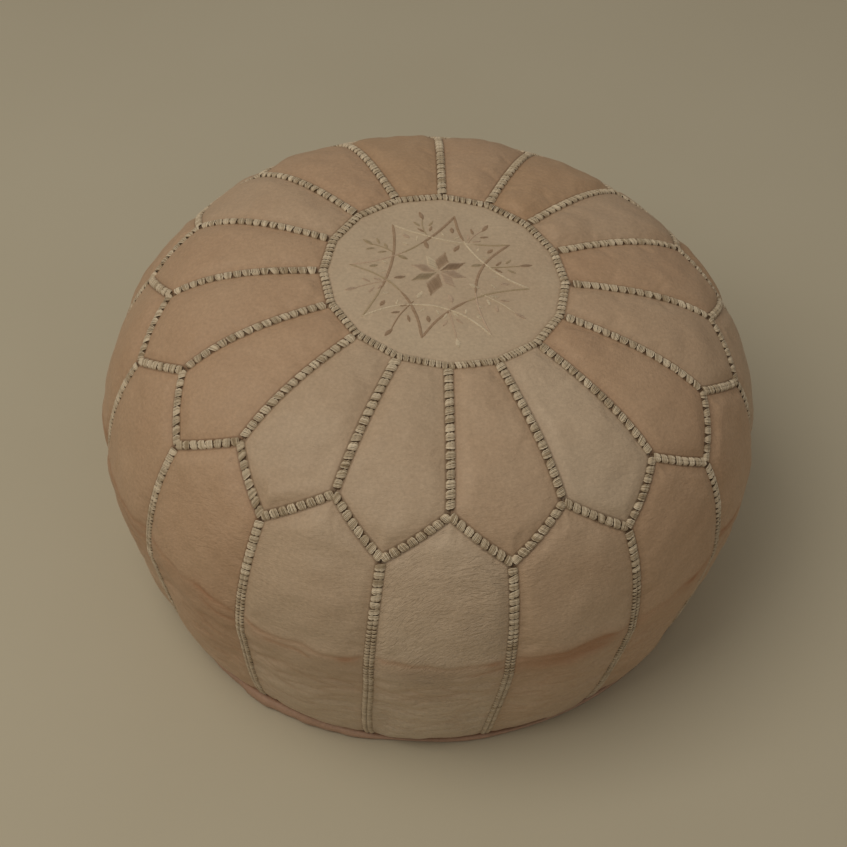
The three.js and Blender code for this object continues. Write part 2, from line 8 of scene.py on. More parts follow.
import bmesh
import bpy
import numpy as np
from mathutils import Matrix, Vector


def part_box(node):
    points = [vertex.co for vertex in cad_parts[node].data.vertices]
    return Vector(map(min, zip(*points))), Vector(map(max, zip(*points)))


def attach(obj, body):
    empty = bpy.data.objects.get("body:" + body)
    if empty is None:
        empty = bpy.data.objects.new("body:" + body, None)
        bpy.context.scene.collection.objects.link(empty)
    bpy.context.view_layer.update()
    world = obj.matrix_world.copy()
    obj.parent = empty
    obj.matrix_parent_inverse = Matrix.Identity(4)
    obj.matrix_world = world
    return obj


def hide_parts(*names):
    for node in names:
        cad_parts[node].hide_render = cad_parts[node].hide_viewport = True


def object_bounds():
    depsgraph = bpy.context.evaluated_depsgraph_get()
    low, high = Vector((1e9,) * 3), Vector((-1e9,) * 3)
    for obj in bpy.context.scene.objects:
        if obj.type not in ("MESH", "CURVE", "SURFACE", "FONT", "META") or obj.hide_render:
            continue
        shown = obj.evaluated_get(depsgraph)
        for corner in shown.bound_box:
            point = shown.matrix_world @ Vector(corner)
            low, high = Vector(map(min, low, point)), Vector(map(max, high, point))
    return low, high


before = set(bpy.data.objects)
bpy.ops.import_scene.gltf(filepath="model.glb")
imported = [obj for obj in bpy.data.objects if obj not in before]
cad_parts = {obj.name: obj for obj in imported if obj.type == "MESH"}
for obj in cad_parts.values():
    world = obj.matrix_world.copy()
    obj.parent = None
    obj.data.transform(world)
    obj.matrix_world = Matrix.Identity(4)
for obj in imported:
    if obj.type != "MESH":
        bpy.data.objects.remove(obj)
CAD_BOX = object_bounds()
MM = 0.001
TURN = 2 * math.pi


def add_object(name, data):
    made = bpy.data.objects.new(name, data)
    bpy.context.scene.collection.objects.link(made)
    return made


def look_along(made, direction):
    made.rotation_euler = direction.to_track_quat("-Z", "Y").to_euler()


# ---- Camera -------------------------------------------------------------------------------------
CAMERA_ELEVATION = math.radians(47.6)
CAMERA_AZIMUTH = math.radians(-0.9)
CAMERA_DISTANCE = 1.35
CAMERA_TARGET = Vector((-0.0041, 0.0, 0.1129))
CAMERA_LENS = 70.26
CAMERA_SENSOR = 36


def make_camera():
    camera = add_object("camera", bpy.data.cameras.new("camera"))
    level = math.cos(CAMERA_ELEVATION)
    x, y = level * math.sin(CAMERA_AZIMUTH), -level * math.cos(CAMERA_AZIMUTH)
    toward = Vector((x, y, math.sin(CAMERA_ELEVATION)))
    camera.location = CAMERA_TARGET + CAMERA_DISTANCE * toward
    look_along(camera, -toward)
    camera.data.lens = CAMERA_LENS
    camera.data.sensor_width = CAMERA_SENSOR
    bpy.context.scene.camera = camera


make_camera()

# ---- The cover's form ---------------------------------------------------------------------------
PANELS = 16
STEP = TURN / PANELS
BULGE = 5 * MM
SEAM_RADIUS = (CAD_BOX[1][0] - CAD_BOX[0][0]) / 2 - BULGE
HEIGHT = 275 * MM
WIDEST_Z = 123 * MM
FOOT_RADIUS = 222 * MM
FOOT_Z = 4 * MM
SHOULDER_SQUARENESS = 4.4
CROWN_SQUARENESS = 2.07
LOWER_ROUNDNESS = 2.08
MEDALLION_RADIUS = 91.5 * MM
PEAK_RADIUS = 204 * MM
VALLEY_RADIUS = 228 * MM
ZIGZAG_RADIUS = (PEAK_RADIUS + VALLEY_RADIUS) / 2
TOP_SHIFT = 12 * MM
TOP_TILT = 0.084
LEVEL_BELOW = 20 * MM
PROFILE_POINTS = 1500
PROFILE_SOFTENING = 12
CROWN = slice(600)


def build_profile():
    """The meridian at even arcs: arcs, radii, heights and the two parts of its outward normal."""
    angle = np.linspace(0, math.pi / 2, 600)
    upper_r = SEAM_RADIUS * np.sin(angle) ** (2 / SHOULDER_SQUARENESS)
    upper_z = WIDEST_Z + (HEIGHT - WIDEST_Z) * np.clip(np.cos(angle), 0, 1) ** (2 / CROWN_SQUARENESS)
    lower_r = FOOT_RADIUS + (SEAM_RADIUS - FOOT_RADIUS) * np.cos(angle)
    lower_z = WIDEST_Z * (1 - np.sin(angle) ** LOWER_ROUNDNESS)
    r = np.concatenate([upper_r, lower_r[1:]])
    z = np.concatenate([upper_z, lower_z[1:]])
    arc = np.concatenate([[0], np.cumsum(np.hypot(np.diff(r), np.diff(z)))])
    even = np.linspace(0, arc[-1], PROFILE_POINTS)
    r, z = np.interp(even, arc, r), np.interp(even, arc, z)
    window = 2 * PROFILE_SOFTENING + 1
    padded = [np.pad(np.gradient(a), PROFILE_SOFTENING, mode="edge") for a in (r, z)]
    along_r, along_z = (np.convolve(a, np.ones(window) / window, mode="valid") for a in padded)
    length = np.hypot(along_r, along_z)
    return even, r, z, -along_z / length, along_r / length


ARC, PROFILE_R, PROFILE_Z, NORMAL_R, NORMAL_Z = build_profile()
ARC_RING, ARC_PEAK, ARC_VALLEY = (
    ARC[np.argmax(PROFILE_R >= radius)] for radius in (MEDALLION_RADIUS, PEAK_RADIUS, VALLEY_RADIUS)
)
ARC_WIDEST, ARC_FOOT = (ARC[np.argmax(PROFILE_Z <= z)] for z in (WIDEST_Z, FOOT_Z))


def radius_at(arc):
    return np.interp(arc, ARC, PROFILE_R)


def settle(points):
    """The stuffing has settled: the crown leans towards +X and its +X side sits lower."""
    x, y, z = points[..., 0], points[..., 1], points[..., 2]
    rise = smoothstep(WIDEST_Z, HEIGHT, z)
    share = np.maximum(0, z - LEVEL_BELOW) / (HEIGHT - LEVEL_BELOW)
    return np.stack([x + TOP_SHIFT * rise, y, z - TOP_TILT * share * x], axis=-1)


def body(azimuth, arc, lift):
    """Points on the cover; the three arguments are numbers or arrays."""
    azimuth, arc, lift = np.broadcast_arrays(azimuth, arc, lift)
    r = radius_at(arc) + lift * np.interp(arc, ARC, NORMAL_R)
    z = np.interp(arc, ARC, PROFILE_Z) + lift * np.interp(arc, ARC, NORMAL_Z)
    return settle(np.stack([r * np.sin(azimuth), -r * np.cos(azimuth), z], axis=-1))


def outward(azimuth, arc):
    """Unit normals of the cover."""
    step = 0.1 * MM
    turn = step / np.maximum(radius_at(arc), MM)
    across = body(azimuth + turn, arc, 0) - body(azimuth - turn, arc, 0)
    down = body(azimuth, arc + step, 0) - body(azimuth, arc - step, 0)
    normal = np.cross(down, across)
    return normal / np.linalg.norm(normal, axis=-1, keepdims=True)


def zigzag_arc(azimuth):
    """Arc of the zigzag seam: peaks at whole steps, valleys between them."""
    share = np.abs(azimuth / STEP - np.round(azimuth / STEP)) * 2
    return ARC_PEAK + (ARC_VALLEY - ARC_PEAK) * share


HALF_STEP_LENGTH = ZIGZAG_RADIUS * STEP / 2
ZIGZAG_COS = HALF_STEP_LENGTH / math.hypot(HALF_STEP_LENGTH, ARC_VALLEY - ARC_PEAK)
RING_STRAIGHTNESS = 0.85
RING_OVALNESS = 0.0125


def ring_radius(azimuth):
    """The ring runs nearly straight from each spoke to the next."""
    off_middle = (azimuth / STEP - np.floor(azimuth / STEP) - 0.5) * STEP
    straight = MEDALLION_RADIUS * math.cos(STEP / 2) / np.cos(off_middle)
    radius = MEDALLION_RADIUS + RING_STRAIGHTNESS * (straight - MEDALLION_RADIUS)
    return radius * (1 + RING_OVALNESS * np.cos(2 * azimuth))


def crown_arc(radius):
    return np.interp(radius, PROFILE_R[CROWN], ARC[CROWN])


# ---- Shaping helpers ----------------------------------------------------------------------------
def smoothstep(low, high, x):
    t = np.clip((x - low) / (high - low), 0, 1)
    return t * t * (3 - 2 * t)


def bell(x, width, power=2):
    """1 where x is 0, falling off to nothing a few widths away."""
    return np.exp(-(x / width) ** power)


def waves(points, wavelength, seed, count=14):
    """Smooth noise from about -1 to 1 with one wavelength: a sum of seeded plane waves."""
    rng = np.random.default_rng(seed)
    directions = rng.normal(size=(count, 3))
    directions /= np.linalg.norm(directions, axis=1, keepdims=True)
    pitch = TURN / (wavelength * rng.uniform(0.75, 1.35, count))
    phase = rng.uniform(0, TURN, count)
    total = sum(np.sin(points @ direction * k + p) for direction, k, p in zip(directions, pitch, phase))
    return total / math.sqrt(count)


def ridges(across, along, pitch, stretch, seed, sharpness=4):
    """Thin wandering lines, longer along than across, from 0 between them to 1 on them."""
    flat = np.stack([along / stretch, across, 0.4 * across + 0.2 * along / stretch], axis=-1)
    return np.exp(-sharpness * np.abs(waves(flat, pitch, seed, count=10)))


# ---- Mesh helpers -------------------------------------------------------------------------------
def fast_mesh(name, points, quads, tris=()):
    """A smooth mesh straight from arrays, far quicker than from_pydata on big ones."""
    mesh = bpy.data.meshes.new(name)
    points = np.ascontiguousarray(points, dtype=np.float32).reshape(-1, 3)
    quads = np.asarray(quads, dtype=np.int32).reshape(-1, 4)
    tris = np.asarray(tris, dtype=np.int32).reshape(-1, 3)
    mesh.vertices.add(len(points))
    mesh.vertices.foreach_set("co", points.ravel())
    mesh.loops.add(quads.size + tris.size)
    mesh.loops.foreach_set("vertex_index", np.concatenate([quads.ravel(), tris.ravel()]))
    mesh.polygons.add(len(quads) + len(tris))
    starts = np.concatenate([np.arange(len(quads)) * 4, quads.size + np.arange(len(tris)) * 3])
    mesh.polygons.foreach_set("loop_start", starts.astype(np.int32))
    mesh.polygons.foreach_set("use_smooth", np.ones(len(starts), dtype=bool))
    mesh.update(calc_edges=True)
    mesh.validate()
    return mesh


def add_piece(name, mesh, materials, slot, *nodes, body_name="cover", **attributes):
    """A visible piece that rides on a body and stands for the CAD nodes named."""
    for key, values in attributes.items():
        values = np.asarray(values, dtype=np.float32)
        kind, field = ("FLOAT_VECTOR", "vector") if values.shape[-1:] == (3,) else ("FLOAT", "value")
        mesh.attributes.new(key, kind, "POINT").data.foreach_set(field, values.ravel())
    mesh.materials.clear()
    for material in materials:
        mesh.materials.append(material)
    piece = add_object(name, mesh)
    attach(piece, body_name)
    if nodes:
        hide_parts(*nodes)
    return piece


def quads_of(a, b, c, d):
    return np.stack([a, b, c, d], axis=-1).reshape(-1, 4)


def grid_faces(index):
    return quads_of(index[:-1, :-1], index[1:, :-1], index[1:, 1:], index[:-1, 1:])


def shell_faces(columns, rows):
    """Quads of a closed shell: outer grid, inner grid and the border between them."""
    outer = np.arange(columns * rows).reshape(rows, columns)
    inner = outer + columns * rows
    return np.concatenate([
        grid_faces(outer),
        quads_of(inner[:-1, :-1], inner[:-1, 1:], inner[1:, 1:], inner[1:, :-1]),
        quads_of(outer[0, :-1], outer[0, 1:], inner[0, 1:], inner[0, :-1]),
        quads_of(outer[-1, :-1], inner[-1, :-1], inner[-1, 1:], outer[-1, 1:]),
        quads_of(outer[:-1, 0], inner[:-1, 0], inner[1:, 0], outer[1:, 0]),
        quads_of(outer[:-1, -1], outer[1:, -1], inner[1:, -1], inner[:-1, -1]),
    ])


def two_skins(outside, inside):
    return np.concatenate([outside.reshape(-1, 3), inside.reshape(-1, 3)])


def flipped(quads):
    """The same quads seen from their other side."""
    return quads[:, [0, 3, 2, 1]]


def belt_faces(a, b):
    """Quads between closed rows of points."""
    return quads_of(a, b, np.roll(b, -1, axis=-1), np.roll(a, -1, axis=-1))


def fan_faces(centre, row):
    """Triangles from one point to a closed row of points."""
    return np.stack([np.full(len(row), centre), row, np.roll(row, -1)], axis=-1)


def end_caps(first, last, centre):
    """Fans that close a stack of rows; their two centre points have the indices centre and the next."""
    return np.concatenate([fan_faces(centre, first), fan_faces(centre + 1, last)[:, [0, 2, 1]]])


# ---- Materials ----------------------------------------------------------------------------------
def srgb(r, g, b):
    """A colour given in 0..255 display values, as a linear one."""
    values = [c / 255 for c in (r, g, b)]
    linear = [c / 12.92 if c <= 0.04045 else ((c + 0.055) / 1.055) ** 2.4 for c in values]
    return (*linear, 1.0)


def tinted(color, *factors):
    """A colour with its red, green and blue scaled, and none over 1."""
    return (*(min(1.0, c * f) for c, f in zip(color, factors)), 1.0)


class Nodes:
    """Short names for building a material's nodes."""

    def __init__(self, name):
        self.material = bpy.data.materials.new(name)
        self.material.use_nodes = True
        self.tree = self.material.node_tree

    def feed(self, node, sockets):
        """Gives each socket a constant, or a link from another node's output."""
        for key, value in sockets.items():
            if isinstance(value, bpy.types.NodeSocket):
                self.tree.links.new(value, node.inputs[key])
            else:
                node.inputs[key].default_value = value

    def add(self, kind, sockets, **settings):
        node = self.tree.nodes.new(kind)
        for key, value in settings.items():
            setattr(node, key, value)
        self.feed(node, sockets)
        return node

    def place(self):
        return self.add("ShaderNodeTexCoord", {}).outputs["Object"]

    def height(self):
        return self.add("ShaderNodeSeparateXYZ", {"Vector": self.place()}).outputs["Z"]

    def attribute(self, name, output="Fac"):
        return self.add("ShaderNodeAttribute", {}, attribute_name=name).outputs[output]

    def noise(self, scale, detail=3.0, roughness=0.5, stretch=None, kind="FBM"):
        vector = self.place()
        if stretch is not None:
            vector = self.add("ShaderNodeMapping", {"Vector": vector, "Scale": stretch}).outputs["Vector"]
        sockets = {"Vector": vector, "Scale": scale, "Detail": detail, "Roughness": roughness}
        return self.add("ShaderNodeTexNoise", sockets, noise_type=kind).outputs["Fac"]

    def grain_noise(self):
        """Fine wrinkles laid along each panel's own grain."""
        sockets = {"Vector": self.attribute("grain", "Vector"), "Scale": 1, "Detail": 3, "Roughness": 0.55}
        return self.add("ShaderNodeTexNoise", {**sockets, "Distortion": 1.1}).outputs["Fac"]

    def pores(self, scale):
        sockets = {"Vector": self.place(), "Scale": scale}
        return self.add("ShaderNodeTexVoronoi", sockets, feature="DISTANCE_TO_EDGE").outputs["Distance"]

    def remap(self, source, low, high, to_low=0.0, to_high=1.0):
        sockets = {"Value": source, "From Min": low, "From Max": high, "To Min": to_low, "To Max": to_high}
        return self.add("ShaderNodeMapRange", sockets, clamp=True).outputs["Result"]

    def times(self, a, b):
        return self.add("ShaderNodeMath", {0: a, 1: b}, operation="MULTIPLY").outputs["Value"]

    def mix(self, factor, a, b, blend="MIX"):
        sockets = {0: factor, 6: a, 7: b}
        return self.add("ShaderNodeMix", sockets, data_type="RGBA", blend_type=blend).outputs[2]

    def shade(self, color, amount):
        """The colour made darker or paler by one varying amount."""
        grey = self.add("ShaderNodeCombineColor", dict.fromkeys(("Red", "Green", "Blue"), amount))
        return self.mix(1.0, color, grey.outputs["Color"], "MULTIPLY")

    def bump(self, height, distance, strength=1.0, below=None):
        sockets = {"Distance": distance, "Strength": strength, "Height": height}
        if below is not None:
            sockets["Normal"] = below
        return self.add("ShaderNodeBump", sockets).outputs["Normal"]

    def finish(self, color, roughness, normal=None, specular=0.35, metallic=0.0, sheen=0.0):
        sockets = {"Base Color": color, "Roughness": roughness, "Specular IOR Level": specular}
        if normal is not None:
            sockets["Normal"] = normal
        sockets.update({"Metallic": metallic, "Sheen Weight": sheen})
        self.feed(self.tree.nodes["Principled BSDF"], sockets)
        return self.material


def leather_color(n, tone, warm, seam_darkening):
    """Clouds and streaks, then darker leather beside the seams, a painted shadow line along the stitch holes,
    painted bounce light on the low parts and painted shade in the folds.
    """
    pale = tinted(tone, 1.13, 1.13, 1.13)
    clouds = n.remap(n.noise(9, 4, 0.55), 0.35, 0.7)
    streaks = n.remap(n.noise(26, 5, 0.6), 0.4, 0.75)
    color = n.mix(n.times(clouds, 0.55), tone, warm)
    color = n.mix(n.times(streaks, 0.35), color, pale)
    fibre = n.noise(150, 5, 0.7, (1, 1, 3.2))
    color = n.mix(n.remap(fibre, 0.52, 0.72, 0.0, 0.5), color, pale)
    color = n.shade(color, n.remap(n.noise(420, 3, 0.6), 0.3, 0.7, 0.9, 1.07))
    # Darker leather beside the seams, fading out from 3 to 9 mm away from them.
    by_seam_color = tinted(warm, 0.72, 0.66, 0.6)
    color = n.mix(n.remap(n.attribute("seam_distance"), 3 * MM, 9 * MM, 0.2 * seam_darkening, 0.0), color, by_seam_color)
    # Painted shadow: a thin dark line along the stitch holes at the edges of the bands.
    hole_shadow_line = n.remap(n.attribute("seam_distance"), 3.7 * MM, 4.5 * MM, 0.42 * seam_darkening, 0.0)
    color = n.mix(hole_shadow_line, color, tinted(by_seam_color, 0.5, 0.5, 0.5))
    # Painted light: towards the bottom the leather turns paler and greyer, as if lit by light bounced off the
    # pale floor.
    low = n.remap(n.height(), 0.20, 0.03)
    color = n.mix(low, color, (1.09, 1.17, 1.26, 1.0), "MULTIPLY")
    # Painted shade in the folds, wrinkles and tucks, towards a darker reddish brown.
    creased = n.remap(n.attribute("crease"), 0.0, 1.0, 0.0, 0.8)
    return n.mix(creased, color, tinted(warm, 0.88, 0.67, 0.57))


def leather(name, tone, warm, seam_darkening=1.0):
    """Natural goat leather: tone is its main colour and warm the colour of its darker clouds."""
    n = Nodes(name)
    color = leather_color(n, tone, warm, seam_darkening)
    normal = n.bump(n.remap(n.pores(950), 0.0, 0.12), 0.12 * MM, 0.55)
    normal = n.bump(n.noise(1600, 2, 0.6), 0.12 * MM, 0.5, normal)
    normal = n.bump(n.noise(150, 5, 0.65, (1, 2.2, 3.2)), 1.0 * MM, 0.6, normal)
    normal = n.bump(n.noise(34, 5, 0.6, (1, 2.0, 3.6), "RIDGED_MULTIFRACTAL"), 0.5 * MM, 0.5, normal)
    normal = n.bump(n.times(n.grain_noise(), n.attribute("wrinkled")), 1.4 * MM, 1.0, normal)
    return n.finish(color, n.remap(n.noise(60, 3), 0.3, 0.7, 0.44, 0.6), normal, specular=0.4)


def thread(name, pale, dark, fibre=2600):
    """Twisted thread: each strand has its own tone, and fine fibres run across it."""
    n = Nodes(name)
    color = n.mix(n.attribute("tone"), dark, pale)
    color = n.shade(color, n.remap(n.noise(fibre, 3, 0.7), 0.3, 0.7, 0.82, 1.1))
    normal = n.bump(n.noise(fibre, 3, 0.7), 0.2 * MM, 0.6)
    return n.finish(color, 0.62, normal, specular=0.3, sheen=0.15)


def woven(name, tone, dark, scale):
    """Plain woven cloth: two crossing sets of threads in colour and relief."""
    n = Nodes(name)
    sets = []
    for direction in ("X", "Y"):
        sockets = {"Scale": scale, "Distortion": 0.6, "Detail": 1, "Vector": n.place()}
        wave = n.add("ShaderNodeTexWave", sockets, wave_type="BANDS", bands_direction=direction)
        sets.append(wave.outputs["Fac"])
    weave = n.times(*sets)
    color = n.mix(n.remap(weave, 0.0, 0.8), dark, tone)
    color = n.mix(n.times(n.remap(n.noise(30, 3), 0.3, 0.7), 0.3), color, dark)
    return n.finish(color, 0.85, n.bump(weave, 0.3 * MM, 0.8), specular=0.2, sheen=0.2)


def brass(name):
    """Old brass with rubbed edges and a little tarnish."""
    n = Nodes(name)
    tarnish = n.remap(n.noise(180, 4, 0.6), 0.35, 0.7)
    color = n.mix(tarnish, srgb(196, 160, 96), srgb(128, 98, 60))
    normal = n.bump(n.noise(700, 3, 0.6, (0.15, 1, 1)), 0.1 * MM, 0.4)
    return n.finish(color, n.remap(tarnish, 0, 1, 0.28, 0.5), normal, specular=0.5, metallic=1.0)


def cotton_wadding(name):
    n = Nodes(name)
    color = n.mix(n.noise(45, 5, 0.65), srgb(228, 222, 208), srgb(206, 196, 176))
    tufts = n.bump(n.noise(90, 5, 0.7), 4 * MM, 0.8)
    normal = n.bump(n.noise(900, 3, 0.7), 0.6 * MM, 0.6, tufts)
    return n.finish(color, 0.95, normal, specular=0.1, sheen=0.3)


# Each panel leather's main colour and the colour of its clouds, from greyest to most orange.
TONES = [
    (srgb(198, 175, 147), srgb(188, 160, 130)),
    (srgb(192, 167, 138), srgb(182, 151, 120)),
    (srgb(191, 163, 133), srgb(180, 146, 113)),
    (srgb(189, 157, 125), srgb(177, 140, 107)),
    (srgb(187, 154, 120), srgb(174, 136, 100)),
]
PANEL_TONES = {
    "top": [2, 0, 3, 2, 3, 2, 4, 3, 4, 3, 2, 3, 3, 3, 1, 1],
    "side": [0, 2, 3, 3, 2, 4, 3, 2, 4, 3, 2, 3, 3, 3, 3, 1],
}
PANEL_LEATHERS = [leather(f"panel_leather_{i + 1}", *tones) for i, tones in enumerate(TONES)]
MEDALLION_LEATHER = leather("medallion_leather", srgb(200, 178, 149), srgb(190, 161, 131), seam_darkening=0.4)
BASE_LEATHER = leather("base_leather", srgb(176, 140, 108), srgb(158, 116, 84), seam_darkening=0.3)
HEM_LEATHER = leather("hem_leather", srgb(176, 138, 111), srgb(158, 118, 92), seam_darkening=0.2)
SEAM_THREAD = thread("seam_thread", srgb(238, 220, 190), srgb(166, 143, 110))
# The turned-in leather edges under the stitches, coloured dark brown: painted shade in the gaps between the
# stitch bundles.
BED_PAINTED_SHADE = thread("seam_bed_painted_shade", srgb(138, 111, 82), srgb(118, 92, 65))
# One tone-on-tone silk at four painted sheen levels: dark is its painted shade where the stitches turn from
# the light, pale its painted sheen where they catch it, olive and rose painted levels in between.
SILKS = {
    "dark": thread("embroidery_silk_painted_shade", srgb(184, 154, 124), srgb(164, 134, 104)),
    "pale": thread("embroidery_silk_painted_sheen", srgb(236, 218, 188), srgb(214, 194, 162)),
    "olive": thread("embroidery_olive", srgb(196, 174, 140), srgb(180, 157, 122)),
    "rose": thread("embroidery_rose", srgb(214, 188, 160), srgb(202, 174, 146)),
}
TAPE_CLOTH = woven("zip_tape_cloth", srgb(196, 176, 142), srgb(150, 130, 98), 420)
COIL_NYLON = thread("zip_coil_nylon", srgb(206, 188, 152), srgb(186, 166, 130), 3000)
BRASS = brass("zip_brass")
COTTON = woven("lining_cotton", srgb(222, 212, 190), srgb(190, 178, 152), 300)
WADDING = cotton_wadding("wadding")

# ---- Leather panels -----------------------------------------------------------------------------
LEATHER = 1.6 * MM
SEAM_GAP = 0.35 * MM
KINDS = ("top", "side")
SIM_COLUMNS = {"top": 15, "side": 19}
SIM_ROWS = {"top": 25, "side": 45}
SIM_FRAMES = 20
FINER = 4
PRESS_OUT = 8 * MM
PRESS_IN = 0.5 * MM
SLIDE = 3 * MM
SOFT_REACH = 34 * MM
START_SHARE = 0.3
CLOTH = {
    "quality": 6, "mass": 0.4, "tension_stiffness": 25, "compression_stiffness": 25,
    "shear_stiffness": 10, "bending_stiffness": 2, "air_damping": 3, "use_pressure": True,
    "uniform_pressure_force": 5, "shrink_min": -0.012, "vertex_group_mass": "seams",
}


def seam_drift(azimuth, arc):
    """Angle by which the side panels lean round the body: out to the right, then left at the foot."""
    share = np.clip((arc - ARC_VALLEY) / (ARC_FOOT - ARC_VALLEY), 0, 1)
    size = (2.5 + 2.5 * share + 0.7 * np.sin(2 * azimuth)) * MM
    return size * np.sin(1.6 * math.pi * share) / radius_at(arc)


def panel_grid(kind, k, columns, rows):
    """Azimuths, arcs, distances to the nearest seam and to the side seams over one panel's grid."""
    u = np.linspace(0, 1, columns)[None, :]
    v = np.linspace(0, 1, rows)[:, None]
    start = (k if kind == "top" else k - 0.5) * STEP
    azimuth = start + u * STEP + 0 * v
    zigzag = zigzag_arc(azimuth)
    if kind == "top":
        ring = crown_arc(ring_radius(azimuth))
        arc = ring + (zigzag - ring) * v
        across = np.minimum(arc - ring, (zigzag - arc) * ZIGZAG_COS)
    else:
        arc = zigzag + (ARC_FOOT - zigzag) * v
        across = (arc - zigzag) * ZIGZAG_COS
        azimuth = azimuth + seam_drift(azimuth, arc)
    side = np.minimum(u, 1 - u) * STEP * radius_at(arc)
    return azimuth, arc, np.minimum(side, across), side


def upsample(values, factor):
    """Smooth interpolation of a grid to factor times as many cells both ways."""
    for axis in (0, 1):
        values = np.moveaxis(values, axis, 0)
        last = len(values) - 1
        place = np.linspace(0, last, last * factor + 1)
        i = np.clip(np.floor(place).astype(int), 0, last - 1)
        t = (place - i).reshape(-1, *([1] * (values.ndim - 1)))
        before, here, after = values[np.maximum(i - 1, 0)], values[i], values[i + 1]
        beyond = values[np.minimum(i + 2, last)]
        values = 0.5 * (
            2 * here + (after - before) * t
            + (2 * before - 5 * here + 4 * after - beyond) * t ** 2
            + (3 * here - before - 3 * after + beyond) * t ** 3
        )
        values = np.moveaxis(values, 0, axis)
    return values


def soft_rise(distance):
    """How far a panel stands out at a distance from its nearest seam, if nothing else is known."""
    reach = np.clip(distance / SOFT_REACH, 0, 1)
    return BULGE * reach * (2 - reach)


def press_from_inside(mesh, held):
    """Where a mesh's points come to as cloth held at some of them, with the stuffing behind it."""
    cover = add_object("leather_sim", mesh)
    cover.vertex_groups.new(name="seams").add(held, 1.0, "REPLACE")
    cloth = cover.modifiers.new("cloth", "CLOTH")
    for key, value in CLOTH.items():
        setattr(cloth.settings, key, value)
    cloth.settings.effector_weights.gravity = 0
    cloth.collision_settings.use_collision = False
    cloth.point_cache.frame_start = 1
    cloth.point_cache.frame_end = SIM_FRAMES
    for number in range(1, SIM_FRAMES + 1):
        bpy.context.scene.frame_set(number)
    solved = cover.evaluated_get(bpy.context.evaluated_depsgraph_get()).data
    found = np.empty(len(solved.vertices) * 3, dtype=np.float32)
    solved.vertices.foreach_get("co", found)
    bpy.context.scene.frame_set(1)
    bpy.data.objects.remove(cover)
    return found.reshape(-1, 3).astype(float)


def simulated_offsets(grids):
    """Offsets of every panel's points from the seams' surface, from one cloth simulation."""
    points, faces, held, start = [], [], [], 0
    for azimuth, arc, distance, _ in grids.values():
        points.append(body(azimuth, arc, START_SHARE * soft_rise(distance)).reshape(-1, 3))
        index = start + np.arange(azimuth.size).reshape(azimuth.shape)
        faces.append(grid_faces(index))
        border = np.ones(azimuth.shape, bool)
        border[1:-1, 1:-1] = False
        held += index[border].tolist()
        start += azimuth.size
    mesh = fast_mesh("leather_sim", np.concatenate(points), np.concatenate(faces))
    found = press_from_inside(mesh, held)
    offsets, start = {}, 0
    for key, (azimuth, arc, distance, _) in grids.items():
        here = found[start:start + azimuth.size].reshape(*azimuth.shape, 3)
        start += azimuth.size
        offset = here - body(azimuth, arc, 0)
        normal = outward(azimuth, arc)
        rise = np.sum(offset * normal, axis=-1, keepdims=True)
        slide = np.clip(offset - rise * normal, -SLIDE, SLIDE)
        rise = np.clip(rise, -PRESS_IN, PRESS_OUT)
        near = (0.3 + 0.7 * smoothstep(2 * MM, 13 * MM, distance))[..., None]
        offsets[key] = (rise * normal + slide) * near
    return offsets


SIM_GRIDS = {
    (kind, k): panel_grid(kind, k, SIM_COLUMNS[kind], SIM_ROWS[kind]) for kind in KINDS for k in range(PANELS)
}
PANEL_OFFSETS = simulated_offsets(SIM_GRIDS)

# ---- Creases and wrinkles -----------------------------------------------------------------------
STITCH_PITCH = 6.8 * MM
CREASE_ABOVE_WIDEST = 23 * MM
CREASE_WAVER = 4 * MM
# Size, turns and start of each wave in the fold's line.
CREASE_WAVES = ((1, 2.3, 0.7), (0.7, 5.1, 2), (0.4, 9, 0), (0.25, 23, 1), (0.2, 37, 0), (0.12, 71, 0))
CREASE_DIP = 12 * MM
DIP_AZIMUTH = 0.58
FOLD_AZIMUTH = 0.37
# Azimuths of the darker spots on the fold.
CREASE_SPOTS = (-2.31, -1.28, -0.25, 0.16, 0.83, 1.9, 2.7, 3.6, 4.4, 5.31, 6.03)
TOP_WRINKLES = 0.22
# How strongly a side panel's grain is wrinkled, where it is known: the front one most.
SIDE_WRINKLES = {0: 1.1, 1: 0.4, 8: 0.8, 15: 0.34}
GRAIN_LONG = 7.5 * MM
GRAIN_SHORT = 2.6 * MM


def crease_arc(azimuth):
    """Arc of the fold that runs round the side panels, just above the widest part."""
    waver = sum(size * np.sin(turns * azimuth + start) for size, turns, start in CREASE_WAVES)
    dip = CREASE_DIP * bell(azimuth - DIP_AZIMUTH, 0.18)
    return ARC_WIDEST - CREASE_ABOVE_WIDEST + CREASE_WAVER * waver + dip


def rim_lip(azimuth):
    """How far the base's hem sticks out, which it does at the front left and the front right."""
    turn = (azimuth + math.pi) % TURN - math.pi
    left = 1.9 * bell(turn + 0.50, 0.32, 4)
    right = 0.55 * bell(turn - 0.12, 0.13) + 0.45 * bell(turn - 0.8, 0.3)
    back = 0.6 * bell(abs(turn) - 2.4, 0.45)
    return left + right + back + 0.10 * np.sin(7 * azimuth) + 0.06 * np.sin(13 * azimuth + 1) - 0.12


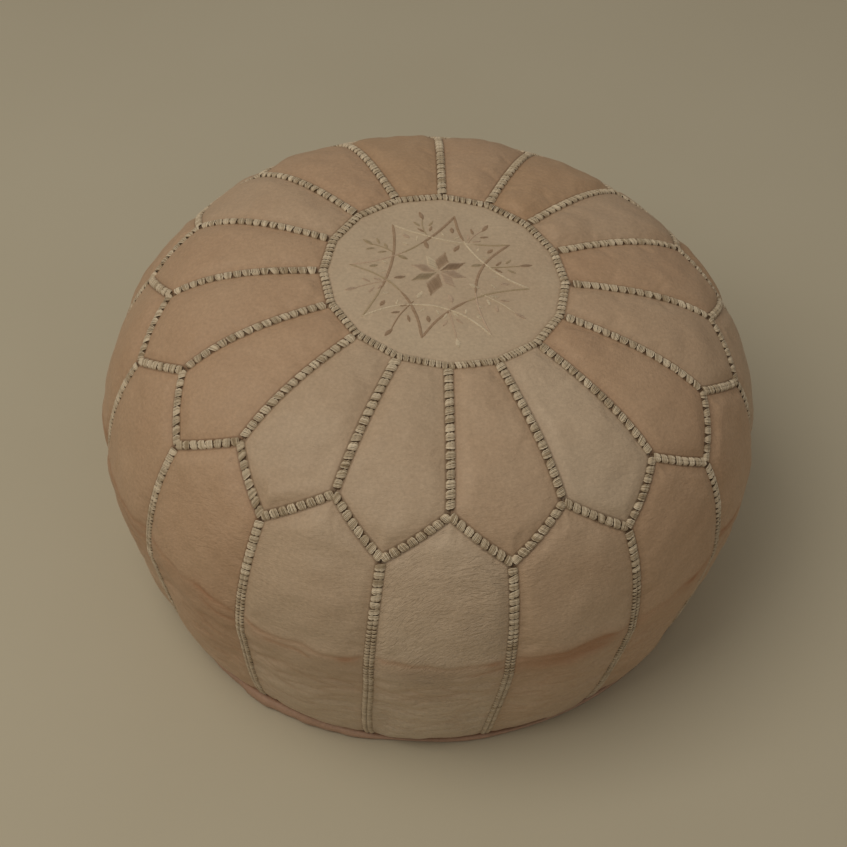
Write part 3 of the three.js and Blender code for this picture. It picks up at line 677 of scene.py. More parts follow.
def side_folds(k, seed, azimuth, arc, side, points, away):
    """Heights to add to a side panel, and its painted fold shade: the fold, the gap at the hem and the low
    wrinkles.
    """
    radius = radius_at(arc)
    sideways = azimuth * radius
    below = arc - crease_arc(azimuth)
    strength = 0.6 + 0.4 * smoothstep(-0.7, 0.6, waves(points, 90 * MM, 5))
    strength = strength * smoothstep(1 * MM, 9 * MM, side)
    height = 1.1 * MM * bell(below, 10 * MM) * strength
    height -= 0.8 * MM * bell(below, 1.8 * MM) * strength
    height -= 0.9 * MM * smoothstep(6 * MM, 30 * MM, below) * away
    # Painted shade along the fold line, in patches, and more broadly just below it.
    shade_patches = 0.5 + 0.5 * smoothstep(-0.2, 1.2, waves(points, 48 * MM, seed + 6))
    creased = 0.75 * bell(below, 2.4 * MM) * strength * shade_patches
    creased += 0.3 * bell(below - 3 * MM, 9 * MM) * shade_patches * strength
    # A second, fainter fold below the first, with painted shade in it.
    second = bell(below - (8 + 3 * np.sin(17 * azimuth)) * MM, 1.8 * MM)
    second = second * smoothstep(0.1, 0.9, waves(points, 60 * MM, seed + 12))
    creased += 0.45 * second
    height -= 0.5 * MM * second * away
    # A broad fold on the front right, with painted shade in it.
    folded = bell(azimuth - FOLD_AZIMUTH, 0.19)
    creased += 0.75 * folded * bell(below - 8 * MM, 12 * MM)
    height -= 1.7 * MM * folded * bell(below - 8 * MM, 7 * MM) * away
    for spot in CREASE_SPOTS:
        creased += 0.55 * bell((azimuth - spot) * radius, 6 * MM) * bell(below - 1 * MM, 3 * MM)
    # Painted shadow in the gap where the panel's foot tucks behind the hem, where the hem's lip stands out.
    tuck_shadow = smoothstep(ARC_FOOT - 7 * MM, ARC_FOOT - 3.5 * MM, arc)
    creased += 1.1 * tuck_shadow * np.clip(rim_lip(azimuth), 0, 1)
    # A faint broad band of painted shade below the fold.
    creased += 0.12 * smoothstep(-2 * MM, 9 * MM, below) * (1 - smoothstep(30 * MM, 75 * MM, below))
    lean = -0.3 if k % 2 else 0.5
    fine = ridges(arc + lean * sideways, sideways - lean * arc, 8 * MM, 4.0, seed + 8, 3.6)
    upper = 1 - smoothstep(ARC_WIDEST - 5 * MM, ARC_WIDEST + 20 * MM, arc)
    patchy = smoothstep(-0.6, 0.8, waves(points, 55 * MM, seed + 9))
    height -= 0.2 * MM * SIDE_WRINKLES.get(k, 0.6) * fine * upper * away * patchy
    low = smoothstep(ARC_WIDEST, ARC_WIDEST + 18 * MM, arc)
    low = low * (1 - smoothstep(ARC_FOOT - 40 * MM, ARC_FOOT - 12 * MM, arc))
    low = low * ridges(arc, sideways, 11 * MM, 4.5, seed + 4, 3.2)
    height -= 0.85 * MM * low * smoothstep(2 * MM, 10 * MM, side)
    # The low wrinkles get painted shade in them too.
    return height, creased + 0.25 * low


def panel_detail(kind, k, azimuth, arc, distance, side, points):
    """Heights to add to a panel's surface, and how much painted fold shade each point gets."""
    seed = 100 * k + (7 if kind == "top" else 11)
    sideways = azimuth * radius_at(arc)
    away = smoothstep(3 * MM, 16 * MM, distance)
    height = 0.9 * MM * waves(points, 62 * MM, seed) * away
    height += 0.35 * MM * waves(points, 22 * MM, seed + 1) * away
    pull = np.exp(-distance / (5 * MM))
    along_seam = np.where(side < distance + 0.1 * MM, arc, sideways)
    height += 0.28 * MM * pull * np.sin(TURN * along_seam / STITCH_PITCH + k)
    height -= 1.1 * MM * (1 - smoothstep(0.8 * MM, 4.4 * MM, distance))
    patch = smoothstep(-0.2, 0.9, waves(points, 70 * MM, seed + 2))
    height -= 0.16 * MM * ridges(arc, sideways, 11 * MM, 3.0, seed + 3) * patch * away
    if kind == "top":
        return height, np.zeros_like(arc)
    more, creased = side_folds(k, seed, azimuth, arc, side, points, away)
    return height + more, creased


def grain_coordinates(kind, k, azimuth, arc):
    """Coordinates for the leather's fine wrinkles, long along them and short across."""
    sideways = (azimuth - (k + (0.5 if kind == "top" else 0)) * STEP) * radius_at(arc)
    if kind == "top":
        down = arc - ARC_WIDEST
        turn = 0.9 * np.sin(2.1 * k) + 0.3 * np.sin(arc / (40 * MM))
    else:
        down = arc - (ARC_VALLEY + 20 * MM)
        below_peak = arc - ARC_PEAK
        turn = 0.55 * np.sin(2.3 * k + 4.4) + 0.12 * np.sin(below_peak / (30 * MM) + k)
        turn = turn + 0.5 * (sideways / (45 * MM)) * np.exp(-below_peak / (110 * MM))
        turn = turn * (1 - smoothstep(ARC_WIDEST - 15 * MM, ARC_WIDEST + 10 * MM, arc))
    along = sideways * np.cos(turn) + down * np.sin(turn)
    across = down * np.cos(turn) - sideways * np.sin(turn)
    return np.stack([along / GRAIN_LONG, across / GRAIN_SHORT, 0 * arc + 3.7 * k], axis=-1)


def panel_piece(kind, k):
    columns = (SIM_COLUMNS[kind] - 1) * FINER + 1
    rows = (SIM_ROWS[kind] - 1) * FINER + 1
    azimuth, arc, distance, side = panel_grid(kind, k, columns, rows)
    middle = (azimuth[:, :1] + azimuth[:, -1:]) / 2
    azimuth = middle + (azimuth - middle) * (1 - SEAM_GAP / (radius_at(arc) * STEP))
    points = body(azimuth, arc, 0) + upsample(PANEL_OFFSETS[kind, k], FINER)
    height, creased = panel_detail(kind, k, azimuth, arc, distance, side, points)
    normal = outward(azimuth, arc)
    outside = points + height[..., None] * normal
    name = f"{kind}_leather_{k + 1:02d}"
    mesh = fast_mesh(name, two_skins(outside, outside - LEATHER * normal), shell_faces(columns, rows))
    wrinkled = TOP_WRINKLES if kind == "top" else SIDE_WRINKLES.get(k, 0.42)
    wrinkled = wrinkled * (0.45 + 0.55 * smoothstep(-0.8, 0.8, waves(points, 50 * MM, 31 * k + len(kind))))
    add_piece(
        name, mesh, [PANEL_LEATHERS[PANEL_TONES[kind][k]]], "panel_leather", f"{kind}_panel_{k + 1:02d}",
        seam_distance=np.tile(distance.ravel(), 2),
        crease=np.tile(creased.ravel(), 2),
        wrinkled=np.tile(wrinkled.ravel(), 2),
        grain=np.tile(grain_coordinates(kind, k, azimuth, arc).reshape(-1, 3), (2, 1)),
    )


for panel_kind in KINDS:
    for panel_number in range(PANELS):
        panel_piece(panel_kind, panel_number)

# ---- Medallion ----------------------------------------------------------------------------------
MEDALLION_RINGS = 56
MEDALLION_SPOKES = 192
MEDALLION_GAP = 0.3 * MM
MEDALLION_RISE = 1.6 * MM
MEDALLION_EDGE_DROP = 1.2 * MM


def crown_point(x, y, lift):
    """A point above the crown, from x and y over the untilted medallion."""
    return body(np.arctan2(x, -y), crown_arc(np.hypot(x, y)), lift)


def medallion_lift(x, y):
    radius = np.hypot(x, y)
    flat = np.stack([x, y, 0 * x], axis=-1)
    edge = ring_radius(np.arctan2(x, -y))
    away = smoothstep(4 * MM, 20 * MM, edge - radius)
    lift = MEDALLION_RISE * (1 - (radius / edge) ** 2)
    lift = lift + 0.45 * MM * waves(flat, 55 * MM, 3) * away + 0.15 * MM * waves(flat, 18 * MM, 4) * away
    return lift - MEDALLION_EDGE_DROP * (1 - smoothstep(1 * MM, 4.5 * MM, edge - radius))


def medallion_piece():
    turn = np.linspace(0, TURN, MEDALLION_SPOKES, endpoint=False)[None, :]
    edge = ring_radius(np.arctan2(np.cos(turn), -np.sin(turn)))
    radius = np.linspace(0.01, 1, MEDALLION_RINGS)[:, None] * (edge - MEDALLION_GAP)
    x, y = radius * np.cos(turn), radius * np.sin(turn)
    lift = medallion_lift(x, y)
    index = np.arange(x.size).reshape(x.shape)
    below = index + x.size
    quads = np.concatenate([
        belt_faces(index[:-1], index[1:]),
        flipped(belt_faces(below[:-1], below[1:])),
        belt_faces(index[-1:], below[-1:]),
    ])
    centre = np.zeros(1)
    middle_lift = medallion_lift(centre, centre)
    points = np.concatenate([
        two_skins(crown_point(x, y, lift), crown_point(x, y, lift - LEATHER)),
        crown_point(centre, centre, middle_lift),
        crown_point(centre, centre, middle_lift - LEATHER),
    ])
    mesh = fast_mesh("medallion_leather", points, quads, end_caps(index[0], below[0], 2 * x.size))
    distance = np.concatenate([np.tile((edge - radius).ravel(), 2), [MEDALLION_RADIUS] * 2])
    add_piece(
        "medallion_top", mesh, [MEDALLION_LEATHER], "medallion_leather", "medallion",
        seam_distance=distance, crease=0 * distance,
    )


medallion_piece()

# ---- Threads ------------------------------------------------------------------------------------
RING_PITCH = 4.7 * MM
SIDE_PITCH = 5.8 * MM
CLOSE_PITCH = 3.3 * MM
BAND_WIDTH = 6.6 * MM
SIDE_BAND_WIDTH = 7.8 * MM
SPOKE_END = 3.5 * MM
SPOKE_FLARE = 0.35
FLARE_LENGTH = 7 * MM
SIDE_SEAM_START = 2.8 * MM
SIDE_SEAM_END = 1 * MM
CLOSING_LENGTH = 34 * MM
TUBE_SIDES = 6
BED_STEP = 2.5 * MM
BED_SHARE = 0.43
BED_TOP = 0.15 * MM
BED_UNDERSIDE = -1.6 * MM
# Nine places over a bundle, from hole to hole: how wide it fans, its height, and the dip in its middle.
BUNDLE_FAN = np.array([0.45, 0.76, 0.97, 1.0, 0.9, 1.0, 0.97, 0.76, 0.45])
BUNDLE_HEIGHT = np.array([-0.9, 0.55, 1.35, 1.5, 1.05, 1.5, 1.35, 0.55, -0.9]) * MM
BUNDLE_NOTCH = np.array([0, 0, 0, 0.15, 0.9, 0.15, 0, 0, 0]) * MM
BUNDLE_PLACES = len(BUNDLE_FAN)
# Strands in a bundle, their greatest radius, and the least and the greatest pitch, all in mm.
BUNDLES = ((6, 0.48, 5.3, 9.0), (4, 0.5, 4.0, 5.3), (2, 0.62, 0.0, 4.0))


def tubes(paths, radii, sides=TUBE_SIDES):
    """Closed tubes along paths (count, samples, 3); radii is (count, samples) or a number."""
    count, samples, _ = paths.shape
    radii = np.broadcast_to(radii, (count, samples))
    tangent = np.gradient(paths, axis=1)
    tangent /= np.linalg.norm(tangent, axis=-1, keepdims=True)
    up = paths - np.array([0, 0, 0.1])
    up = up / np.linalg.norm(up, axis=-1, keepdims=True)
    side = np.cross(tangent, up)
    side /= np.linalg.norm(side, axis=-1, keepdims=True)
    rise = np.cross(side, tangent)
    turn = (np.arange(sides) * TURN / sides)[:, None]
    ring = side[:, :, None, :] * np.cos(turn) + rise[:, :, None, :] * np.sin(turn)
    points = paths[:, :, None, :] + ring * radii[:, :, None, None]
    index = np.arange(count * samples * sides).reshape(count, samples, sides)
    first, last = index[:, 0], index[:, -1]
    caps = []
    for i in range(1, sides - 1):
        caps.append(np.stack([first[:, 0], first[:, i + 1], first[:, i]], axis=-1))
        caps.append(np.stack([last[:, 0], last[:, i], last[:, i + 1]], axis=-1))
    return points.reshape(-1, 3), flipped(belt_faces(index[:, :-1], index[:, 1:])), np.concatenate(caps)


class SeamPath:
    """A line on the cover, through azimuths and arcs, walked by length."""

    def __init__(self, azimuth, arc):
        step = np.linalg.norm(np.diff(body(azimuth, arc, 0), axis=0), axis=1)
        self.azimuth, self.arc = azimuth, arc
        self.length = np.concatenate([[0], np.cumsum(step)])
        self.total = self.length[-1]

    def at(self, distance):
        return np.interp(distance, self.length, self.azimuth), np.interp(distance, self.length, self.arc)

    def heading(self, distance):
        """Unit direction along the path, as (sideways, down the meridian)."""
        step = 1.2 * MM
        azimuth_low, arc_low = self.at(np.clip(distance - step, 0, self.total))
        azimuth_high, arc_high = self.at(np.clip(distance + step, 0, self.total))
        sideways = (azimuth_high - azimuth_low) * radius_at((arc_low + arc_high) / 2)
        down = arc_high - arc_low
        size = np.hypot(sideways, down)
        return sideways / size, down / size

    def beside(self, distance, across, along, lift):
        """Points across, along and above the path, from the spot at each distance."""
        azimuth, arc = self.at(distance)
        sideways, down = self.heading(distance)
        azimuth = azimuth + (sideways * along - down * across) / radius_at(arc)
        return body(azimuth, arc + down * along + sideways * across, lift)


def stitch_blocks(path, centres, pitches, rng, flare, width):
    """Bundles of strands, each laid over the seam from a hole on one side to one on the other.

    A bundle is fullest over each edge of the leather, and narrows into its two holes. It lies
    slightly aslant. Close bundles are thinner and flatter. Returns paths, radii and tones.
    """
    share = np.linspace(-1, 1, BUNDLE_PLACES)[None, :]
    strands, radii, tones = [], [], []
    for strand_count, thickest, low, high in BUNDLES:
        chosen = (pitches >= low * MM) & (pitches < high * MM)
        count = int(np.sum(chosen))
        if count == 0:
            continue
        here, pitch = centres[chosen][:, None], pitches[chosen][:, None]
        closeness = smoothstep(5.3 * MM, 3.6 * MM, pitch)
        spacing = (0.91 - 0.15 * closeness) * pitch / strand_count
        flat = np.clip(pitch / (6.2 * MM), 0.62, 1)
        slant = rng.normal(0.10, 0.05, (count, 1)) * pitch
        size = rng.normal(1.0, 0.035, (count, 1)) * (1 + flare * np.exp(-here / FLARE_LENGTH))
        twist = rng.normal(0, 0.12, (count, 1))
        bundle_tone = rng.uniform(0, 0.35, count)
        for place in np.arange(strand_count) - (strand_count - 1) / 2:
            jitter = rng.normal(0, 0.07, (count, 1)) * spacing
            across = width / 2 * share * size
            along = place * (1 + twist * share) * spacing * BUNDLE_FAN + slant * share + jitter
            middle = 1 - abs(place) / max(1, strand_count / 2)
            crown = 0.35 * MM * middle * (1 - share ** 2)
            lift = (BUNDLE_HEIGHT + crown) * flat + rng.normal(0, 0.05, (count, 1)) * MM
            lift = lift - BUNDLE_NOTCH * closeness
            strands.append(path.beside(here + 0 * across, across, along, lift))
            radii.append(np.clip(0.47 * spacing[:, 0], 0.3 * MM, thickest * MM))
            tones.append(bundle_tone + 0.7 * rng.uniform(0, 1, count) * (1 - 0.5 * closeness[:, 0]))
    return np.concatenate(strands), np.concatenate(radii), np.concatenate(tones)


def bed_strip(path, half_width):
    """The strip of turned-in leather edges under the stitches."""
    count = max(8, int(path.total / BED_STEP))
    spots = np.linspace(0, path.total, count)[:, None]
    across = np.array([-1.0, -0.7, -0.3, 0.3, 0.7, 1.0])[None, :] * half_width + 0 * spots
    edge, shoulder = -1.2 * MM, BED_TOP - 0.25 * MM
    height = np.array([edge, shoulder, BED_TOP, BED_TOP, shoulder, edge])
    upper, lower = (path.beside(spots + 0 * across, across, 0, lift) for lift in (height, BED_UNDERSIDE))
    return two_skins(upper, lower), shell_faces(len(height), count)


def even_spots(length, pitch, rng):
    """Centres and pitches of blocks that fill a length."""
    count = max(2, int(round(length / pitch)))
    centres = (np.arange(count) + 0.5) * length / count
    return centres + rng.normal(0, 0.12, count) * MM, np.full(count, length / count)


def closing_spots(length, change):
    """Blocks that get closer down a side seam: coarse to the change, then ever finer."""
    centres, pitches = [], []
    walked = 0.0
    while walked < length - 1.5 * MM:
        share = min(max((walked - change) / CLOSING_LENGTH, 0), 1)
        pitch = SIDE_PITCH - (SIDE_PITCH - CLOSE_PITCH) * share ** 0.7
        centres.append(walked + pitch / 2)
        pitches.append(pitch)
        walked += pitch
    return np.array(centres), np.array(pitches)


def seam_piece(name, node, path, seed, flare=0.0, pitch=STITCH_PITCH, change=None, width=BAND_WIDTH):
    """All the stitching of one seam, with its bed."""
    rng = np.random.default_rng(seed)
    spots = even_spots(path.total, pitch, rng) if change is None else closing_spots(path.total, change)
    strands, radii, tones = stitch_blocks(path, *spots, rng, flare, width)
    points, quads, caps = tubes(strands, radii[:, None])
    bed_points, bed_quads = bed_strip(path, BED_SHARE * width)
    bed_quads = bed_quads + len(points)
    mesh = fast_mesh(name, np.concatenate([points, bed_points]), np.concatenate([quads, bed_quads]), caps)
    tone = np.concatenate([np.repeat(tones, BUNDLE_PLACES * TUBE_SIDES), np.zeros(len(bed_points))])
    # The bed takes its darkest tone, painted shade between the bundles.
    add_piece(name, mesh, [SEAM_THREAD, BED_PAINTED_SHADE], "seam_thread", node, tone=tone)
    slots = np.repeat([0, 1, 0], [len(quads), len(bed_quads), len(caps)]).astype(np.int32)
    mesh.polygons.foreach_set("material_index", slots)


def seams():
    crown, sides = "top_seam_stitching", "side_seam_stitching"
    around = np.linspace(0, TURN, 721)
    ring = SeamPath(around, crown_arc(ring_radius(around)))
    seam_piece("ring_stitching", crown, ring, 21, pitch=RING_PITCH)
    spoke = np.linspace(ARC_RING + SPOKE_END, ARC_PEAK - SPOKE_END, 80)
    for k in range(PANELS):
        path = SeamPath(k * STEP + 0 * spoke, spoke)
        seam_piece(f"spoke_stitching_{k + 1:02d}", crown, path, 40 + k, flare=SPOKE_FLARE)
    for half in range(2 * PANELS):
        azimuth = (half // 2 + 0.5 * np.linspace(half % 2, half % 2 + 1, 60)) * STEP
        path = SeamPath(azimuth, zigzag_arc(azimuth))
        seam_piece(f"zigzag_stitching_{half + 1:02d}", sides, path, 80 + half)
    down = np.linspace(ARC_VALLEY + SIDE_SEAM_START, ARC_FOOT - SIDE_SEAM_END, 200)
    for k in range(PANELS):
        change = (31 + 5 * math.sin(3.1 * k + 1)) * MM
        azimuth = (k + 0.5) * STEP
        path = SeamPath(azimuth + seam_drift(azimuth, down), down)
        name = f"side_stitching_{k + 1:02d}"
        seam_piece(name, sides, path, 140 + k, change=change, width=SIDE_BAND_WIDTH)


seams()

# ---- Embroidery ---------------------------------------------------------------------------------
# The medallion's pattern is in millimetres from the pattern's centre: x to +X and y to +Y.
PATTERN_CENTRE = np.array([-5.0, 3.5])
SILK_RADIUS = 0.24 * MM
SILK_SPACING = 0.52
PETAL_SPACING = 0.7
SILK_ARCH = np.array([-0.25, 0.22, 0.34, 0.22, -0.25]) * MM
SILK_SIDES = 5
# Direction in degrees and radius of each of the star's tips, and the sprigs' reach after each of them.
TIPS = [(123, 62), (78, 67), (32, 65), (-11, 69), (-60, 75), (-101, 71), (-138, 76), (177, 66)]
SPRIG_REACH = [66, 66, 69, 74, 77, 77, 70, 62]
# Where an arc's silk changes along it, the change paints the sheen turning with the stitches.
# The star's arcs: from tip, to tip, how far it dips, where along it, thread.
STAR_ARCS = [
    (0, 6, 0.20, 0.0, 0.72, "dark"), (0, 6, 0.20, 0.72, 1.0, "olive"), (6, 4, 0.36, 0.0, 1.0, "pale"),
    (2, 4, 0.39, 0.0, 0.62, "dark"), (2, 4, 0.39, 0.62, 1.0, "rose"), (0, 2, 0.20, 0.0, 0.72, "pale"),
    (0, 2, 0.20, 0.72, 1.0, "olive"), (1, 7, 0.28, 0.0, 0.42, "dark"), (1, 7, 0.28, 0.42, 0.6, "olive"),
    (1, 7, 0.28, 0.6, 1.0, "rose"), (7, 5, 0.29, 0.0, 0.5, "olive"), (7, 5, 0.29, 0.5, 1.0, "dark"),
    (5, 3, 0.25, 0.0, 0.5, "dark"), (5, 3, 0.25, 0.5, 1.0, "olive"), (1, 3, 0.29, 0.0, 0.3, "dark"),
    (1, 3, 0.29, 0.3, 1.0, "pale"),
]
# The flower's petals: direction, length, width, thread.
PETALS = [
    (76, 21, 11, "dark"), (28, 22, 10, "dark"), (-14, 20, 9, "rose"), (-52, 19, 9, "rose"),
    (-103, 26, 13, "dark"), (-151, 22, 9, "olive"), (165, 20, 9, "rose"), (118, 18, 8, "pale"),
]
# Each leaf's and sprig's silk is its painted sheen level.
TIP_LEAF_SILKS = ["rose", "dark", "dark", "rose", "pale", "dark", "dark", "olive"]
SMALL_LEAF_SILKS = ["dark", "olive", "pale", "rose", "pale", "dark", "olive", "dark"]
SPRIG_END_SILKS = ["dark", "dark", "dark", "rose", "pale", "dark", "rose", "olive"]
SPRIG_SIDE_SILKS = ["olive", "rose", "olive", "pale", "rose", "dark", "rose", "olive"]


def polar(angle, radius):
    turn = math.radians(angle)
    return np.array([radius * math.cos(turn), radius * math.sin(turn)])


def silk_paths(starts, ends):
    """Silk strands from starts to ends, (count, 2) each in the pattern's millimetres."""
    share = np.linspace(0, 1, len(SILK_ARCH))[None, :, None]
    flat = (starts[:, None, :] * (1 - share) + ends[:, None, :] * share + PATTERN_CENTRE) * MM
    x, y = flat[..., 0], flat[..., 1]
    return crown_point(x, y, medallion_lift(x, y) + SILK_ARCH)


def satin_bar(points, width, slant, rng):
    """Close strands laid across a curved line."""
    points = np.array(points, float)
    step = np.linalg.norm(np.diff(points, axis=0), axis=1)
    length = np.concatenate([[0], np.cumsum(step)])
    spots = np.arange(SILK_SPACING / 2, length[-1], SILK_SPACING)
    centre, ahead, behind = (
        np.stack([np.interp(spots + shift, length, points[:, i]) for i in (0, 1)], axis=-1)
        for shift in (0, 0.5, -0.5)
    )
    along = ahead - behind
    along /= np.linalg.norm(along, axis=1, keepdims=True)
    across = np.stack([-along[:, 1], along[:, 0]], axis=-1)
    taper = np.clip(np.minimum(spots, length[-1] - spots) / 4, 0.35, 1)[:, None]
    reach = (across * width / 2 + along * slant) * taper
    reach *= rng.normal(1, 0.06, (len(spots), 1))
    return centre - reach, centre + reach


def satin_leaf(centre, angle, length, width, grain, rng, pointed=False, spacing=SILK_SPACING):
    """Parallel strands that fill a leaf; grain is their angle to the leaf's axis, in degrees."""
    share = np.linspace(-1, 1, 25)
    half = width / 2 * ((1 - np.abs(share)) if pointed else (1 - share ** 2) ** 0.9)
    upper, lower = (np.stack([share * length / 2, edge], axis=-1) for edge in (half, -half))
    outline = np.concatenate([upper, lower[::-1]])
    along, across = polar(grain, 1), polar(grain + 90, 1)
    u, v = outline @ along, outline @ across
    starts, ends = [], []
    for level in np.arange(v.min() + spacing / 2, v.max(), spacing):
        hits = []
        for i in range(len(v)):
            j = (i + 1) % len(v)
            if (v[i] - level) * (v[j] - level) < 0:
                hits.append(u[i] + (u[j] - u[i]) * (level - v[i]) / (v[j] - v[i]))
        if len(hits) >= 2 and max(hits) - min(hits) > 0.5:
            ragged = rng.normal(0, 0.12, 2)
            starts.append(along * (min(hits) + ragged[0]) + across * level)
            ends.append(along * (max(hits) + ragged[1]) + across * level)
    spin = np.array([polar(angle, 1), polar(angle + 90, 1)])
    return tuple(np.array(found).reshape(-1, 2) @ spin + centre for found in (starts, ends))


def concave_arc(first, last, dip, share_from, share_to):
    """Points on an arc between two tips that dips towards the pattern's centre."""
    bend = (first + last) / 2 * (1 - 2 * dip)
    t = np.linspace(share_from, share_to, 30)[:, None]
    return (1 - t) ** 2 * first + 2 * t * (1 - t) * bend + t ** 2 * last


def silk_piece(name, node, groups):
    """One piece from (silk, starts, ends) groups."""
    rng = np.random.default_rng(len(name))
    paths, slots, tones = [], [], []
    for silk, starts, ends in groups:
        if len(starts):
            paths.append(silk_paths(starts, ends))
            slots.append(np.full(len(starts), list(SILKS).index(silk)))
            tones.append(rng.uniform(0, 1, len(starts)))
    paths, slots, tones = (np.concatenate(parts) for parts in (paths, slots, tones))
    points, quads, caps = tubes(paths, SILK_RADIUS, SILK_SIDES)
    mesh = fast_mesh(name, points, quads, caps)
    tone = np.repeat(tones, len(SILK_ARCH) * SILK_SIDES)
    add_piece(name, mesh, SILKS.values(), "embroidery_thread", node, tone=tone)
    quad_slots = np.repeat(slots, (len(SILK_ARCH) - 1) * SILK_SIDES)
    cap_slots = np.tile(slots, 2 * (SILK_SIDES - 2))
    mesh.polygons.foreach_set("material_index", np.concatenate([quad_slots, cap_slots]).astype(np.int32))


def embroidered_star(rng):
    tips = [polar(*tip) for tip in TIPS]
    star = []
    for first, last, dip, low, high, silk in STAR_ARCS:
        line = concave_arc(tips[first], tips[last], dip, low, high)
        star.append((silk, *satin_bar(line, 2.2 if silk == "dark" else 1.6, 0.8, rng)))
    for silk, (angle, radius) in zip(TIP_LEAF_SILKS, TIPS):
        turn = angle + rng.normal(0, 2)
        star.append((silk, *satin_leaf(polar(turn, radius * 0.73), turn + 20, 6.5, 3.6, 75, rng)))
        for side in (-1, 1):
            beside = polar(turn + side * 7.5, radius * 0.62)
            star.append(("pale", *satin_leaf(beside, turn + side * 35, 5.5, 1.8, 60, rng)))
    return star


def embroidered_flower(rng):
    flower = []
    for i, (angle, long, wide, silk) in enumerate(PETALS):
        petal = satin_leaf(polar(angle, long / 2 + 1.5), angle, long, wide, 35, rng, True, PETAL_SPACING)
        between = 61.5 - 45 * i
        leaf = satin_leaf(polar(between, 30), between, 9, 3.8, 65, rng)
        flower += [(silk, *petal), (SMALL_LEAF_SILKS[i], *leaf)]
    return flower


def embroidered_sprigs(rng):
    sprigs = []
    for i, (angle, _) in enumerate(TIPS):
        turn = angle - ((angle - TIPS[(i + 1) % len(TIPS)][0]) % 360) / 2
        root, top = 38, SPRIG_REACH[i] - 6
        bow = rng.uniform(-2.0, 2.0)
        shares = np.linspace(0, 1, 12)
        stem = [polar(turn + bow * math.sin(3.14 * t), root + (top - root) * t) for t in shares]
        side_silk, end_silk = SPRIG_SIDE_SILKS[i], SPRIG_END_SILKS[i]
        sprigs.append((side_silk, *satin_bar(stem, 0.9, 0.5, rng)))
        sprigs.append((end_silk, *satin_leaf(polar(turn, top + 4.5), turn + bow * 4, 9.5, 3.6, 70, rng)))
        for j, radius in enumerate((47, 55)):
            for side in (-1, 1):
                centre = polar(turn + side * (4.6 + 1.0 * j), radius + rng.normal(0, 0.8))
                lean = turn + side * (38 + rng.normal(0, 5))
                silk = side_silk if (j + i) % 2 else end_silk
                sprigs.append((silk, *satin_leaf(centre, lean, 7.0, 2.3, 60, rng)))
    return sprigs


def embroidery():
    rng = np.random.default_rng(17)
    silk_piece("embroidery_star", "embroidered_star", embroidered_star(rng))
    silk_piece("embroidery_rosette", "embroidered_rosette", embroidered_flower(rng))
    silk_piece("embroidery_sprigs", "embroidered_star", embroidered_sprigs(rng))


embroidery()

# ---- Base ---------------------------------------------------------------------------------------
BASE_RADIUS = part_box("base_panel_front")[1][0]
BASE_REACH = 0.9993
BASE_COLUMNS = 241
BASE_SKIN = 2.0 * MM
TROUGH_DEPTH = 12 * MM
TROUGH_HALF_WIDTH = 13 * MM
TROUGH_TOP_HALF_WIDTH = 9.5 * MM
TROUGH_HALF_LENGTH = 168 * MM
TROUGH_TOP_HALF_LENGTH = 163 * MM
TROUGH_END_SHARE = 0.985
ZIP_HALF_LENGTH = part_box("zip_coil_front")[1][0]
ZIP_STITCH_Y = 7.8 * MM
SLOT_HALF_WIDTH = 6 * MM
SLOT_END = 6 * MM
CLOSED_HALF_WIDTH = 0.3 * MM
EDGE_STITCHES = 300
EDGE_STITCH_INSET = 5 * MM
EDGE_STITCH_LENGTH = 3.4 * MM
ZIP_STITCH_PITCH = 4.2 * MM
ZIP_STITCH_LENGTH = 3.1 * MM
RIM_SECTIONS = 480
RIM_INNER = 220.2 * MM
RIM_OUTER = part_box("base_rim")[1][0]
RIM_LOW = 0.35 * MM
RIM_TOP = 2.9 * MM
# Round the hem's section: radius, height, share of the lip's push outwards and of its rise.
RIM_OUTLINE = [
    (RIM_INNER, RIM_LOW, 0, 0), (RIM_INNER + 4 * MM, RIM_LOW, 0, 0),
    (RIM_OUTER - 2.5 * MM, RIM_LOW, 0.8, 0.05), (RIM_OUTER - 0.9 * MM, RIM_LOW + 0.25 * MM, 1, 0.12),
    (RIM_OUTER - 0.1 * MM, RIM_LOW + 1.1 * MM, 1.1, 0.5), (RIM_OUTER - 0.5 * MM, RIM_TOP - 0.4 * MM, 1, 0.95),
    (RIM_OUTER - 1.6 * MM, RIM_TOP, 0.75, 1.1), (RIM_OUTER - 3.0 * MM, RIM_TOP - 0.1 * MM, 0.4, 0.85),
    (RIM_OUTER - 4.6 * MM, RIM_TOP, 0.1, 0.2), (RIM_INNER + 3 * MM, RIM_TOP, 0, 0),
    (RIM_INNER, RIM_TOP - 0.3 * MM, 0, 0),
]


def trough_height(x, y):
    """The base leather's underside: flat, but for the trough over the zip."""
    into_y = (TROUGH_HALF_WIDTH - np.abs(y)) / (TROUGH_HALF_WIDTH - TROUGH_TOP_HALF_WIDTH)
    into_x = (TROUGH_HALF_LENGTH - np.abs(x)) / (TROUGH_HALF_LENGTH - TROUGH_TOP_HALF_LENGTH)
    return TROUGH_DEPTH * smoothstep(0.0, 1.0, np.minimum(into_x, into_y))


